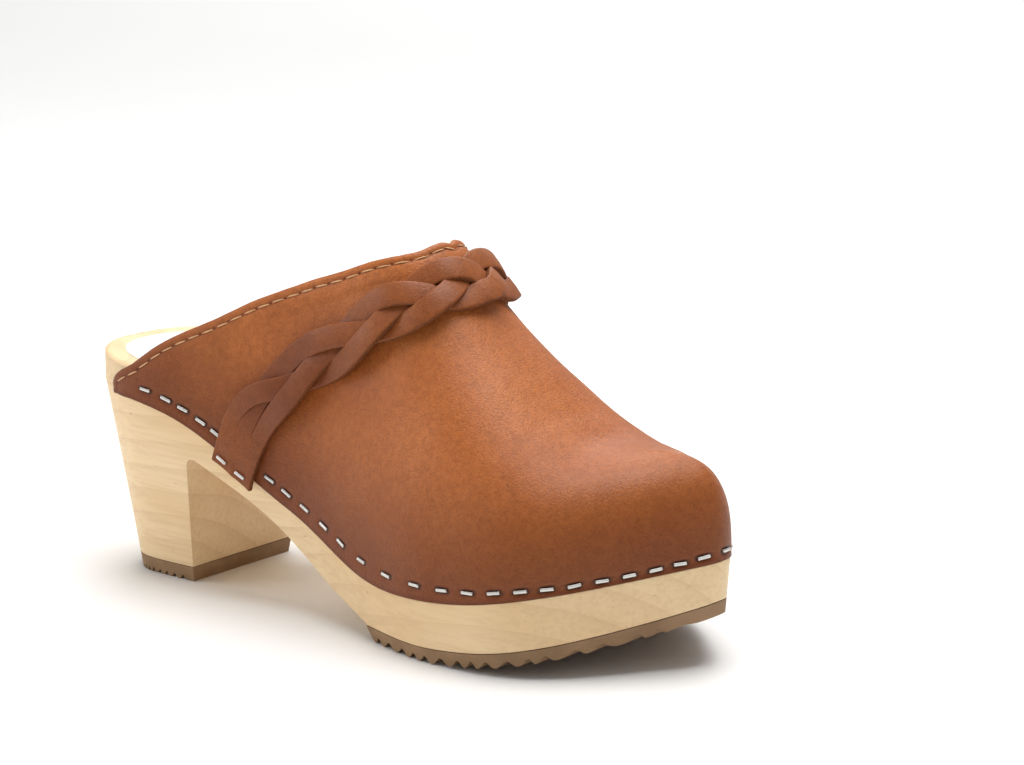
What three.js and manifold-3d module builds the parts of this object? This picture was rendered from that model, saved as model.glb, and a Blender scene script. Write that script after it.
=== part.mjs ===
// A high-heeled wooden clog for the right foot, as separate pieces: a carved wooden sole, two rubber
// treads, a lasted leather vamp with a toe puff inside it, a braided leather strap over the instep,
// a round label on the footbed, and the wire staples that hold the leather to the wood.
//
// Units are millimetres. +X points to the toe, +Y to the inner (big toe) side, +Z up. The origin is
// on the ground, under the middle of the whole clog; stations are measured from the heel's back.

import * as THREE from "three";
import { mergeVertices } from "three/addons/utils/BufferGeometryUtils.js";
import Module from "manifold-3d";

const wasm = await Module();
wasm.setup();

// ---- Driving dimensions -------------------------------------------------------------------------

const SOLE_LENGTH = 248.5;
const HEEL_WIDTH = 72.6;
const WAIST_WIDTH = 64.5;
const BALL_WIDTH = 95;
const TOE_WIDTH = 88;
const OUTER_TOE_TIP = 18.3; // half widths that the toe's outline rounds off
const INNER_TOE_TIP = 22;
const HEEL_ROUND = 35; // length of the rounded back of the heel
const HEEL_ROUND_POWER = 2.2; // 2 is an ellipse, more is squarer
const TOE_ROUND = 64;
const TOE_ROUND_POWER = 2.3;

const HEEL_EDGE_HEIGHT = 68.5; // the leather's lower edge, at the back of the heel
const WAIST_EDGE_HEIGHT = 36.5;
const BALL_EDGE_HEIGHT = 21.2;
const TOE_EDGE_HEIGHT = 35.1;
const LEATHER_OVERLAP = 11; // how far the leather comes down the side of the wood

const HEEL_BLOCK = 56.7; // from the back of the footbed to the heel's breast
const HEEL_TAPER = 0.187; // how far the heel's side slants in, per mm of depth
const FOREPART_TAPER = 0.07;
const BREAST_LEAN = -0.106; // the breast slants back, per mm of depth
const ARCH_TOP = 48.5; // underside of the waist at the breast
const BREAST_FILLET = 4.5;
const DISH_DEPTH = 3.5; // hollow of the footbed below its rim

const TREAD_THICKNESS = 4.6;
const HEEL_TREAD_THICKNESS = 5.3;
const TREAD_START = 138;
const TREAD_END_CUT = 4; // length of the slanting cut at that end
const RIB_PITCH = 6.2;
const HEEL_RIB_PITCH = 4.2;
const GROOVE_SHARE = 0.5; // of the pitch
const GROOVE_DEPTH = 1.8;
const TOE_SPRING_START = 160;
const TOE_SPRING_RADIUS = 233;

const LEATHER_THICKNESS = 2;
const HEM_FOLD = 1.5; // extra thickness where the topline is turned in
const HEM_WIDTH = 8;
const LEATHER_PROUD = 0.7; // how far the vamp stands out past the wood that it is let into
const VAMP_BACK = 22; // back corners of the vamp
const FIRST_STAPLE = 40;
const TOPLINE_FRONT = 143; // front of the topline, on the instep
const INSTEP_HEIGHT = 126; // outside of the leather there
const TOE_BOX_HEIGHT = 67.6; // outside of the leather over the toes
const TOE_BOX_ROUND = 22; // length of the dome over the toe tip

const PUFF_THICKNESS = 1.3;
const PUFF_GAP = 0.7; // between the vamp and the puff
const PUFF_LENGTH = 62; // along the edge, back from the toe tip

const STRAND_THICKNESS = 2;
const TAB_WIDTH = 19;
const STRAND_WIDTH = 6.8;
const BRAID_SWING = 6.2; // how far a strand's middle swings to each side
const BRAID_LIFT = 1.55; // how far it rises and sinks
const BRAID_STEPS = 16; // sixths of a strand's full swing, between the tabs
const STRAP_ROOT = 78; // middle of the tabs
const STRAP_CREST = 154.5; // middle of the strap on the instep
const TAB_LENGTH = 19;
const STRAP_REST = 0.5; // between the strap and the vamp
const TAB_DROP = 4.2; // how far a tab comes down past the vamp's lower edge

// Stations of the hand-driven staples: behind the strap's tabs, then ahead of them. The outer row
// goes round the toe tip, to end on the inner side.
const STAPLES_BEHIND = [41.5, 50, 56.6, 62, 67.3];
const OUTER_STAPLES = [
  92.7, 100.1, 108.7, 118.7, 128.5, 140.5, 154.2, 167.8, 179, 187.3, 193.2, 198.5, 203.3, 208,
  212.7, 217.6, 223, 229, 237, 250,
];
const INNER_STAPLES = [
  92.7, 101.5, 111, 121, 131.5, 142.5, 154, 165.5, 176.5, 186, 192.5, 198.8, 205, 211, 217.3,
  224.5, 233.5,
];
const STAPLE_CROWN = 5; // outside width
const STAPLE_WIRE = 1.1; // square wire
const STAPLE_LEG = 6.5;
const TAB_STAPLE_DROP = 1.9; // from the vamp's lower edge down to the tab's staples

const LABEL_RADIUS = 25;
const LABEL_THICKNESS = 0.5;
const LABEL_AT = 30.5;

const FIT_GAP = 0.3; // between pieces that touch

// ---- Curves --------------------------------------------------------------------------------------

const { clamp, lerp, smoothstep } = THREE.MathUtils;

// A smooth curve through [x, value] pairs, as a function of x.
function through(...pairs) {
  const slope = (a, b) => (b[1] - a[1]) / (b[0] - a[0]);
  const tangents = pairs.map((pair, i) => {
    if (i === 0) return slope(pair, pairs[1]);
    if (i === pairs.length - 1) return slope(pairs[i - 1], pair);
    const before = pair[0] - pairs[i - 1][0];
    const after = pairs[i + 1][0] - pair[0];
    return (slope(pairs[i - 1], pair) * after + slope(pair, pairs[i + 1]) * before) / (before + after);
  });
  return (x) => {
    let i = 0;
    while (i < pairs.length - 2 && x > pairs[i + 1][0]) i++;
    const [[x0, from], [x1, to]] = [pairs[i], pairs[i + 1]];
    const t = clamp((x - x0) / (x1 - x0), 0, 1);
    const bend = (x1 - x0) * t * (1 - t) * (tangents[i] * (1 - t) - tangents[i + 1] * t);
    return lerp(from, to, t * t * (3 - 2 * t)) + bend;
  };
}

// From 0 to 1 over the share 0 to 1, as a rounded end widens.
const roundEnd = (share, power) => (1 - (1 - clamp(share, 0, 1)) ** power) ** (1 / power);
const spaced = (start, end, count) =>
  Array.from({ length: count + 1 }, (_, i) => lerp(start, end, i / count));

const toeStart = SOLE_LENGTH - TOE_ROUND;
const halfWidths = (toeTip) =>
  through(
    [0, HEEL_WIDTH * 0.44],
    [40, HEEL_WIDTH / 2],
    [105, WAIST_WIDTH / 2],
    [175, BALL_WIDTH / 2],
    [215, TOE_WIDTH / 2],
    [SOLE_LENGTH, toeTip],
  );
const outerHalfWidth = halfWidths(OUTER_TOE_TIP);
const innerHalfWidth = halfWidths(INNER_TOE_TIP);
const centreline = through([0, 0], [105, 1.6], [175, -0.3], [SOLE_LENGTH, 7.2]);
const edgeHeight = through(
  [0, HEEL_EDGE_HEIGHT + 0.5],
  [10, HEEL_EDGE_HEIGHT],
  [50, HEEL_EDGE_HEIGHT - 6],
  [100, WAIST_EDGE_HEIGHT],
  [140, BALL_EDGE_HEIGHT + 0.5],
  [175, BALL_EDGE_HEIGHT],
  [215, lerp(BALL_EDGE_HEIGHT, TOE_EDGE_HEIGHT, 0.48)],
  [SOLE_LENGTH, TOE_EDGE_HEIGHT],
);
const rimHeight = (x) => edgeHeight(x) + LEATHER_OVERLAP;
const springHeight = (x) => Math.max(0, x - TOE_SPRING_START) ** 2 / (2 * TOE_SPRING_RADIUS);
const treadTop = (x) => springHeight(x) + TREAD_THICKNESS;

// ---- The sole's outline --------------------------------------------------------------------------

// Stations run evenly round the outline's two rounded ends, where x hardly changes.
function footX(station) {
  const heel = clamp(1 - station / HEEL_ROUND, 0, 1);
  const toe = clamp((station - toeStart) / TOE_ROUND, 0, 1);
  if (heel > 0) return HEEL_ROUND * (1 - Math.sin((Math.PI / 2) * heel));
  return toe > 0 ? toeStart + TOE_ROUND * Math.sin((Math.PI / 2) * toe) : station;
}

function stationOf(x) {
  if (x < HEEL_ROUND) return HEEL_ROUND * (1 - Math.asin(1 - Math.max(0, x) / HEEL_ROUND) / (Math.PI / 2));
  if (x < toeStart) return x;
  return toeStart + (TOE_ROUND * Math.asin(Math.min(1, (x - toeStart) / TOE_ROUND))) / (Math.PI / 2);
}

// side is -1 on the outer side and 1 on the inner side. Past an end, the outline goes on round it.
function outlinePoint(station, side) {
  if (station < 0) return outlinePoint(-station, -side);
  if (station > SOLE_LENGTH) return outlinePoint(2 * SOLE_LENGTH - station, -side);
  const x = footX(station);
  const heelShare = roundEnd(x / HEEL_ROUND, HEEL_ROUND_POWER);
  const toeShare = roundEnd((SOLE_LENGTH - x) / TOE_ROUND, TOE_ROUND_POWER);
  const half = (side < 0 ? outerHalfWidth : innerHalfWidth)(x) * heelShare * toeShare;
  return new THREE.Vector3(x, centreline(x) + side * half, 0);
}

function outward(station, side) {
  const step = 1;
  const [before, after] = [station - step, station + step].map((at) => outlinePoint(at, side));
  const tangent = after.sub(before).normalize();
  return new THREE.Vector3(-side * tangent.y, side * tangent.x, 0);
}

const sideTaper = through(
  [0, HEEL_TAPER],
  [HEEL_BLOCK, HEEL_TAPER],
  [TREAD_START, FOREPART_TAPER],
  [SOLE_LENGTH, FOREPART_TAPER],
);
const sideLean = through([0, 0], [HEEL_BLOCK, BREAST_LEAN], [HEEL_BLOCK + 25, 0], [SOLE_LENGTH, 0]);

// A point on the side of the sole at a height, moved in from it by an inset.
function sidePoint(station, height, side, inset = 0) {
  const point = outlinePoint(station, side);
  const depth = Math.max(0, edgeHeight(point.x) - height);
  const lean = sideLean(point.x) * depth;
  point.addScaledVector(outward(station, side), -sideTaper(point.x) * depth - inset);
  return point.setZ(height).setX(point.x + lean);
}

// ---- Meshes --------------------------------------------------------------------------------------

// The quads between neighbouring rows of points.
function skin(rows, flip = false) {
  const quads = [];
  for (let i = 0; i + 1 < rows.length; i++) {
    for (let j = 0; j + 1 < rows[i].length; j++) {
      const quad = [rows[i][j], rows[i + 1][j], rows[i + 1][j + 1], rows[i][j + 1]];
      quads.push(flip ? quad.reverse() : quad);
    }
  }
  return quads;
}

function signedVolume(positions, index) {
  const at = (i) => new THREE.Vector3().fromBufferAttribute(positions, index[i]);
  let volume = 0;
  for (let i = 0; i < index.length; i += 3) volume += at(i).dot(at(i + 1).cross(at(i + 2))) / 6;
  return volume;
}

// One closed geometry from quads, with shared corners merged, collapsed triangles dropped, and its
// faces turned outward.
function closed(quads) {
  const corners = quads.flatMap(([a, b, c, d]) => [a, b, c, a, c, d]);
  const loose = new THREE.BufferGeometry().setFromPoints(corners);
  const merged = mergeVertices(loose, 1e-3);
  const index = [];
  for (let i = 0; i < merged.index.count; i += 3) {
    const [a, b, c] = merged.index.array.subarray(i, i + 3);
    if (a !== b && b !== c && c !== a) index.push(a, b, c);
  }
  if (signedVolume(merged.attributes.position, index) < 0) index.reverse();
  merged.setIndex(index);
  return merged;
}

function solidOf(geometry) {
  const bare = new THREE.BufferGeometry();
  bare.setAttribute("position", geometry.attributes.position);
  bare.setIndex(geometry.index);
  const merged = mergeVertices(bare, 1e-3);
  const mesh = new wasm.Mesh({
    numProp: 3,
    vertProperties: merged.attributes.position.array,
    triVerts: new Uint32Array(merged.index.array),
  });
  return new wasm.Manifold(mesh);
}

function geometryOf(solid) {
  const mesh = solid.getMesh();
  const geometry = new THREE.BufferGeometry();
  geometry.setAttribute("position", new THREE.BufferAttribute(mesh.vertProperties, 3));
  geometry.setIndex(new THREE.BufferAttribute(mesh.triVerts, 1));
  return geometry;
}

const joined = (solids) => solids.reduce((sum, solid) => sum.add(solid));

// A closed sheet between an outer and an inner grid of the same layout.
function sheet(outer, inner, endsMeet = false) {
  const last = outer.length - 1;
  const end = outer[0].length - 1;
  const quads = [
    ...skin(outer),
    ...skin(inner, true),
    ...skin([inner[0], outer[0]]),
    ...skin([outer[last], inner[last]]),
    ...skin(outer.map((row, i) => [inner[i][0], row[0]])),
  ];
  if (!endsMeet) quads.push(...skin(outer.map((row, i) => [row[end], inner[i][end]])));
  return closed(quads);
}

// ---- Wooden sole ---------------------------------------------------------------------------------

const archCurve = through(
  [HEEL_BLOCK, ARCH_TOP],
  [90, ARCH_TOP - 17.8],
  [115, ARCH_TOP - 35.2],
  [TREAD_START, TREAD_THICKNESS + FIT_GAP],
);

function woodBottom(x) {
  if (x >= TREAD_START) return treadTop(x) + FIT_GAP;
  const into = clamp(BREAST_FILLET - (x - HEEL_BLOCK), 0, BREAST_FILLET);
  return archCurve(x) - (BREAST_FILLET - Math.sqrt(BREAST_FILLET ** 2 - into ** 2));
}

// The wood is let in for the vamp. Towards the vamp's back corners the let-in runs out, and the vamp
// comes out onto the side of the wood.
const LET_IN_SLACK = 0.7;
const LET_IN_RUNOUT = 0.05;
const fullLetIn = LEATHER_THICKNESS - LEATHER_PROUD + FIT_GAP + LET_IN_SLACK;
const letIn = (x) => lerp(LET_IN_RUNOUT, fullLetIn, smoothstep(x, VAMP_BACK - 4, VAMP_BACK + 40));
const vampProud = (x) => LEATHER_PROUD + fullLetIn - letIn(x);

// Down a side at one station: the let-in, its ledge, then the outside of the wood.
function woodColumn(station, side, floor) {
  const x = footX(station);
  const ledge = edgeHeight(x) - FIT_GAP;
  const inside = [rimHeight(x), ledge].map((height) => sidePoint(station, height, side, letIn(x)));
  return [...inside, ...spaced(ledge, floor, 3).map((height) => sidePoint(station, height, side))];
}

// Points across the footbed at one station, hollowed between its rims.
function footbedRow(station, count) {
  const x = footX(station);
  const [outer, inner] = [-1, 1].map((side) => sidePoint(station, rimHeight(x), side, letIn(x)));
  const hollow = DISH_DEPTH * Math.min(1, outer.distanceTo(inner) / WAIST_WIDTH);
  return spaced(0, 1, count).map((t) => {
    const point = outer.clone().lerp(inner, t);
    return point.setZ(point.z - hollow * Math.sin(Math.PI * t) ** 0.8);
  });
}

function woodenSole() {
  const heelStations = [...spaced(0, HEEL_ROUND, 9), ...spaced(HEEL_ROUND, HEEL_BLOCK, 3).slice(1)];
  const filletEnd = HEEL_BLOCK + BREAST_FILLET;
  const forepartStations = [
    ...spaced(0, 1, 4).map((t) => HEEL_BLOCK + BREAST_FILLET * t ** 1.6),
    ...spaced(filletEnd, TREAD_START, 9).slice(1),
    ...spaced(TREAD_START, toeStart, 6).slice(1),
    ...spaced(toeStart, SOLE_LENGTH, 13).slice(1),
  ];
  const stations = [...heelStations, ...forepartStations.slice(1)];
  const floorAt = (station) => woodBottom(Math.max(HEEL_BLOCK, footX(station)));
  const [outer, inner] = [-1, 1].map((side) => stations.map((at) => woodColumn(at, side, floorAt(at))));
  const foot = outer[0].length - 1;
  const breast = heelStations.length - 1;
  const underside = outer.map((column, i) => [column[foot], inner[i][foot]]).slice(breast);
  const heelFloor = HEEL_TREAD_THICKNESS + FIT_GAP;
  const [heelOuter, heelInner] = [outer, inner].map((columns, side) =>
    heelStations.map((at, i) => {
      const top = columns[i][foot];
      const lower = spaced(top.z, heelFloor, 4).slice(1);
      return [top, ...lower.map((height) => sidePoint(at, height, side ? 1 : -1))];
    }),
  );
  return closed([
    ...skin(outer),
    ...skin(inner, true),
    ...skin(stations.map((at) => footbedRow(at, 10)), true),
    ...skin(underside),
    ...skin(heelOuter),
    ...skin(heelInner, true),
    ...skin([heelOuter[breast], heelInner[breast]]),
    ...skin(heelOuter.map((column, i) => [column[4], heelInner[i][4]])),
  ]);
}

// ---- Treads --------------------------------------------------------------------------------------

// Places along a tread as [x, depth of groove]: ribs and V grooves from start to end, and plain
// places outside them.
function ribbed(start, end, pitch, plain) {
  const width = pitch * GROOVE_SHARE;
  const places = plain.filter((x) => x <= start || x >= end).map((x) => [x, 0]);
  for (let x = start + width; x + pitch < end; x += pitch) {
    places.push([x, 0], [x + width / 2, GROOVE_DEPTH], [x + width, 0]);
  }
  return places.sort((a, b) => a[0] - b[0]);
}

// A tread with the outline of the sole, from places of { x, top, bottom }.
function tread(places) {
  const [outer, inner] = [-1, 1].map((side) =>
    places.map(({ x, top, bottom }) => {
      const station = stationOf(x);
      return [top, bottom].map((height) => sidePoint(station, height, side));
    }),
  );
  const last = places.length - 1;
  return closed([
    ...skin(outer),
    ...skin(inner, true),
    ...skin(outer.map((column, i) => [column[0], inner[i][0]]), true),
    ...skin(outer.map((column, i) => [column[1], inner[i][1]])),
    ...skin([inner[0], outer[0]]),
    ...skin([outer[last], inner[last]]),
  ]);
}

function forefootTread() {
  const cutEnd = TREAD_START + TREAD_END_CUT;
  const plain = [TREAD_START, cutEnd, ...spaced(SOLE_LENGTH - TOE_ROUND / 4, SOLE_LENGTH, 8).map(footX)];
  const endCut = (x) => (TREAD_THICKNESS - 1) * clamp((cutEnd - x) / TREAD_END_CUT, 0, 1);
  const places = ribbed(cutEnd, SOLE_LENGTH - 5, RIB_PITCH, plain);
  return tread(
    places.map(([x, groove]) => ({ x, top: treadTop(x), bottom: springHeight(x) + groove + endCut(x) })),
  );
}

function heelTread() {
  const plain = [...spaced(0, HEEL_ROUND, 10).map(footX), HEEL_BLOCK];
  const places = ribbed(HEEL_ROUND * 0.3, HEEL_BLOCK, HEEL_RIB_PITCH, plain);
  return tread(places.map(([x, groove]) => ({ x, top: HEEL_TREAD_THICKNESS, bottom: groove })));
}

// ---- The last: the surface that the leather is drawn over ----------------------------------------

// Heights of the ridge between the toe box and the front of the topline, as shares of that rise.
const ridgeBetween = (share) => lerp(TOE_BOX_HEIGHT, INSTEP_HEIGHT, share);
const ridgeHeight = through(
  [0, 150],
  [66, 178],
  [85, 182],
  [105, 168],
  [121, 150],
  [TOPLINE_FRONT, INSTEP_HEIGHT],
  [163, ridgeBetween(0.61)],
  [180, ridgeBetween(0.345)],
  [196, ridgeBetween(0.11)],
  [206, ridgeBetween(0.005)],
  [215, ridgeBetween(-0.015)],
  [SOLE_LENGTH - TOE_BOX_ROUND, TOE_BOX_HEIGHT],
);
const wallPower = through([0, 2], [TOPLINE_FRONT, 1.8], [190, 2.4], [SOLE_LENGTH - TOE_BOX_ROUND, 3.05]);
const ridgeSkew = through([0, 0], [TOPLINE_FRONT, 2.8], [200, 0.5], [SOLE_LENGTH - TOE_BOX_ROUND, 0]);

// Where on the ridge the rib that starts at a station ends: round the toe the ribs fan out.
function ridgeX(station) {
  const t = (station - toeStart) / TOE_ROUND;
  if (t <= 0) return footX(station);
  const start = (TOE_ROUND * Math.PI) / 2;
  const end = TOE_BOX_ROUND;
  const span = TOE_ROUND - TOE_BOX_ROUND;
  return toeStart + start * t + (3 * span - 2 * start - end) * t * t + (start + end - 2 * span) * t ** 3;
}

// A point on the outside of the vamp: angle runs from 0 at the outer lower edge, over the ridge at a
// quarter turn, to a half turn at the inner lower edge. Past either edge it hangs straight down.
function lastPoint(station, angle) {
  if (station > SOLE_LENGTH) return lastPoint(2 * SOLE_LENGTH - station, Math.PI - angle);
  const side = angle < Math.PI / 2 ? -1 : 1;
  const foot = outlinePoint(station, side);
  const edge = edgeHeight(foot.x);
  foot.addScaledVector(outward(station, side), vampProud(foot.x));
  const top = ridgeX(station);
  const rise = ridgeHeight(top) - edge;
  const past = Math.max(0, -angle, angle - Math.PI);
  if (past > 0) return foot.setZ(edge - rise * past);
  const power = wallPower(top);
  const reach = (Math.abs(Math.cos(angle)) ** power + Math.sin(angle) ** power) ** (-1 / power);
  const out = Math.abs(Math.cos(angle)) * reach;
  const up = Math.sin(angle) * reach;
  const ridge = new THREE.Vector3(top, centreline(top) + ridgeSkew(top), 0);
  return ridge.lerp(foot, out).setZ(edge + rise * up);
}

// The angle at which the surface is a given height above its lower edge.
const angleAtRise = (station, rise) =>
  Math.atan2(rise, ridgeHeight(ridgeX(station)) - edgeHeight(footX(station)));

function lastFrame(station, angle) {
  const step = 0.01;
  const point = lastPoint(station, angle);
  const forward = lastPoint(station + 1, angle).sub(lastPoint(station - 1, angle)).divideScalar(2);
  const round = lastPoint(station, angle + step).sub(lastPoint(station, angle - step));
  round.divideScalar(2 * step);
  const normal = forward.clone().cross(round).normalize();
  if (normal.lengthSq() < 0.5) normal.set(0, 0, 1); // the ribs' meeting point over the toes
  return { point, forward, round, normal };
}

// The topline, as the station at which each angle starts.
const DEGREE = Math.PI / 180;
const toplineStation = through(
  [0, stationOf(VAMP_BACK)],
  [10 * DEGREE, 41],
  [20 * DEGREE, 66],
  [28 * DEGREE, 85],
  [40 * DEGREE, 105.5],
  [55 * DEGREE, 122.5],
  [72 * DEGREE, 138],
  [90 * DEGREE, TOPLINE_FRONT],
);

function lastGrid(angles, steps, start) {
  return angles.map((angle) => spaced(start(angle), SOLE_LENGTH, steps).map((at) => [at, angle]));
}

function onLast(grid, offset) {
  return grid.map((row) =>
    row.map(([station, angle], j) => {
      const { point, normal } = lastFrame(station, angle);
      return point.addScaledVector(normal, offset(point, row, j));
    }),
  );
}

function vamp() {
  const start = (angle) => toplineStation(Math.min(angle, Math.PI - angle));
  const quarter = spaced(0, 1, 13).map((share) => 90 * DEGREE * share ** 1.5);
  const angles = [...quarter, ...quarter.slice(0, -1).reverse().map((angle) => Math.PI - angle)];
  const grid = lastGrid(angles, 32, start);
  const hemmed = (point, row, j) => {
    const folded = 1 - smoothstep(row[j][0] - row[0][0], HEM_WIDTH - 2, HEM_WIDTH + 3);
    const aboveRim = smoothstep(point.z - rimHeight(point.x), 1, 6);
    return -LEATHER_THICKNESS - HEM_FOLD * folded * aboveRim;
  };
  return sheet(onLast(grid, () => 0), onLast(grid, hemmed), true);
}

// The stiffener inside the toe, above the rim of the wood.
function toePuff() {
  const start = SOLE_LENGTH - PUFF_LENGTH;
  const lowest = (station) => angleAtRise(station, LEATHER_OVERLAP + 2 * FIT_GAP);
  const grid = spaced(0, 1, 16).map((share) =>
    spaced(start, SOLE_LENGTH, 11).map((station) => [
      station,
      lerp(lowest(station), Math.PI - lowest(station), share),
    ]),
  );
  const outside = -LEATHER_THICKNESS - PUFF_GAP;
  return sheet(onLast(grid, () => outside), onLast(grid, () => outside - PUFF_THICKNESS), true);
}

// ---- Braided strap -------------------------------------------------------------------------------

// The strap's middle line from a tab to the ridge, as the station at each angle.
const strapClimb = through(
  [0, STRAP_ROOT],
  [10 * DEGREE, 87],
  [20 * DEGREE, 103],
  [30 * DEGREE, 117],
  [40 * DEGREE, 129.5],
  [52 * DEGREE, 140.5],
  [62 * DEGREE, 147],
  [72 * DEGREE, 151.5],
  [90 * DEGREE, STRAP_CREST],
);
const strapStation = (angle) => strapClimb(Math.min(angle, Math.PI - angle));
const tabDropAngle = -angleAtRise(STRAP_ROOT, TAB_DROP);
const tabEndAngle = angleAtRise(STRAP_ROOT, TAB_LENGTH - TAB_DROP);

// A point on the strap: across is measured square to the strap's middle line, lift above the vamp.
function strapPoint(angle, across, lift) {
  const station = strapStation(angle);
  const { forward, round, normal } = lastFrame(station, angle);
  const [before, after] = [angle - 0.01, angle + 0.01].map((at) => lastPoint(strapStation(at), at));
  const run = after.sub(before);
  const square = normal.clone().cross(run).normalize();
  const [ff, fr, rr] = [forward.dot(forward), forward.dot(round), round.dot(round)];
  const [f, r] = [forward.dot(square), round.dot(square)];
  const scale = across / (ff * rr - fr * fr);
  const frame = lastFrame(station + scale * (rr * f - fr * r), angle + scale * (ff * r - fr * f));
  return frame.point.addScaledVector(frame.normal, lift);
}

function strapTab(fromAngle, toAngle) {
  const grid = (lift) =>
    spaced(fromAngle, toAngle, 6).map((angle) =>
      spaced(-TAB_WIDTH / 2, TAB_WIDTH / 2, 4).map((across) => strapPoint(angle, across, lift)),
    );
  return sheet(grid(STRAP_REST + STRAND_THICKNESS), grid(STRAP_REST));
}

// One strand of the three: it swings from side to side and passes over and under its neighbours.
function strand(order) {
  const slot = ((order - 1) * TAB_WIDTH) / 3;
  const flatLift = STRAP_REST + STRAND_THICKNESS / 2;
  const overlap = 0.02;
  const [from, to] = [tabEndAngle - overlap, Math.PI - tabEndAngle + overlap];
  const middle = (t) => {
    const phase = (((order - 1) * 2 + BRAID_STEPS * t) * Math.PI) / 3;
    const braided = smoothstep(t, 0.01, 0.1) * (1 - smoothstep(t, 0.9, 0.99));
    const swing = BRAID_SWING * Math.sin(phase);
    const endSwing = (Math.round(Math.sin(phase) / 0.866) * TAB_WIDTH) / 3;
    return {
      angle: lerp(from, to, t),
      across: lerp(t < 0.5 ? slot : endSwing, swing, braided),
      lift: flatLift + braided * BRAID_LIFT * (1 + Math.sin(2 * phase)),
    };
  };
  const centre = (t) => {
    const { angle, across, lift } = middle(clamp(t, 0, 1));
    return strapPoint(angle, across, lift);
  };
  const rings = spaced(0, 1, 46).map((t) => {
    const { angle, across } = middle(t);
    const point = centre(t);
    const run = centre(t + 0.004).sub(centre(t - 0.004)).normalize();
    const up = strapPoint(angle, across, 1).sub(strapPoint(angle, across, 0));
    const wide = up.cross(run).normalize();
    const normal = run.clone().cross(wide).normalize();
    const halfWide = wide.multiplyScalar(STRAND_WIDTH / 2);
    const halfThick = normal.multiplyScalar(STRAND_THICKNESS / 2);
    const corner = ([w, n]) => point.clone().addScaledVector(halfWide, w).addScaledVector(halfThick, n);
    return [[-1, -1], [1, -1], [1, 1], [-1, 1], [-1, -1]].map(corner);
  });
  const cap = ([a, b, c, d]) => [[a, b], [d, c]];
  return closed([...skin(rings), ...skin(cap(rings[0]), true), ...skin(cap(rings[rings.length - 1]))]);
}

function braidedStrap() {
  const tabs = [
    strapTab(tabDropAngle, tabEndAngle),
    strapTab(Math.PI - tabEndAngle, Math.PI - tabDropAngle),
  ];
  return joined([...tabs, ...[0, 1, 2].map(strand)].map(solidOf));
}

// ---- Staples -------------------------------------------------------------------------------------

// Heights of the row of staples above the vamp's lower edge.
const stapleRise = through(
  [40, 5.2],
  [66, 5.3],
  [100, 5],
  [140, 5.6],
  [170, 4.7],
  [195, 3.2],
  [206, 2.3],
  [225, 2.1],
  [236, 2.7],
  [SOLE_LENGTH, 3.1],
);

// Where each staple goes, as { station, angle, lift }: lift is the height of its crown's seat.
function staplePlaces() {
  const onVamp = (side) => (station) => ({ station, side, rise: stapleRise(station), lift: 0 });
  const onTab = (side) => (share) => ({
    station: STRAP_ROOT + share * TAB_WIDTH,
    side,
    rise: -TAB_STAPLE_DROP,
    lift: STRAND_THICKNESS + STRAP_REST,
  });
  const row = (side, ahead) => [
    ...STAPLES_BEHIND.map(onVamp(side)),
    ...ahead.map(onVamp(side)),
    ...[-0.2, 0.2].map(onTab(side)),
  ];
  return [...row(-1, OUTER_STAPLES), ...row(1, INNER_STAPLES)];
}

function stapleFrame({ station, side, rise, lift }) {
  const edgeAngle = angleAtRise(station, rise);
  const angle = side < 0 ? edgeAngle : Math.PI - edgeAngle;
  const { point, forward, normal } = lastFrame(station, angle);
  const across = forward.clone().addScaledVector(normal, -forward.dot(normal)).normalize();
  const seat = point.addScaledVector(normal, lift + FIT_GAP);
  return new THREE.Matrix4().makeBasis(across, normal, across.clone().cross(normal)).setPosition(seat);
}

function stapleGeometry(legs) {
  const [half, wire] = [STAPLE_CROWN / 2, STAPLE_WIRE];
  const outline = new THREE.Shape([
    new THREE.Vector2(-half, wire),
    new THREE.Vector2(-half, -legs),
    new THREE.Vector2(-half + wire, -legs),
    new THREE.Vector2(-half + wire, 0),
    new THREE.Vector2(half - wire, 0),
    new THREE.Vector2(half - wire, -legs),
    new THREE.Vector2(half, -legs),
    new THREE.Vector2(half, wire),
  ]);
  const staple = new THREE.ExtrudeGeometry(outline, { depth: wire, bevelEnabled: false });
  return staple.translate(0, 0, -wire / 2);
}

const legLength = (place) => STAPLE_LEG + place.lift;

// The slot that a staple's legs are driven into.
function stapleSlot(place) {
  const above = 2 * FIT_GAP;
  const depth = legLength(place) + above + FIT_GAP;
  const slot = new THREE.BoxGeometry(STAPLE_CROWN + 2 * FIT_GAP, depth, STAPLE_WIRE + 2 * FIT_GAP);
  slot.translate(0, above - depth / 2, 0);
  return solidOf(slot.applyMatrix4(stapleFrame(place)));
}

// ---- Label ---------------------------------------------------------------------------------------

// A thin disc that lies in the hollow of the footbed.
function heelLabel() {
  const bedHeight = (x, y) => {
    const [outer, inner] = [-1, 1].map((side) => sidePoint(stationOf(x), rimHeight(x), side, letIn(x)));
    const t = clamp((y - outer.y) / (inner.y - outer.y), 0, 1);
    const hollow = DISH_DEPTH * Math.min(1, (inner.y - outer.y) / WAIST_WIDTH);
    return rimHeight(x) - hollow * Math.sin(Math.PI * t) ** 0.8;
  };
  const grid = (lift) =>
    spaced(0, LABEL_RADIUS, 4).map((radius) =>
      spaced(0, 2 * Math.PI, 24).map((turn) => {
        const x = LABEL_AT + radius * Math.cos(turn);
        const y = centreline(LABEL_AT) + radius * Math.sin(turn);
        return new THREE.Vector3(x, y, bedHeight(x, y) + lift);
      }),
    );
  const [top, bottom] = [grid(FIT_GAP + LABEL_THICKNESS), grid(FIT_GAP)];
  return closed([...skin(top), ...skin(bottom, true), ...skin([top[4], bottom[4]])]);
}

// ---- Assembly ------------------------------------------------------------------------------------

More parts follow.
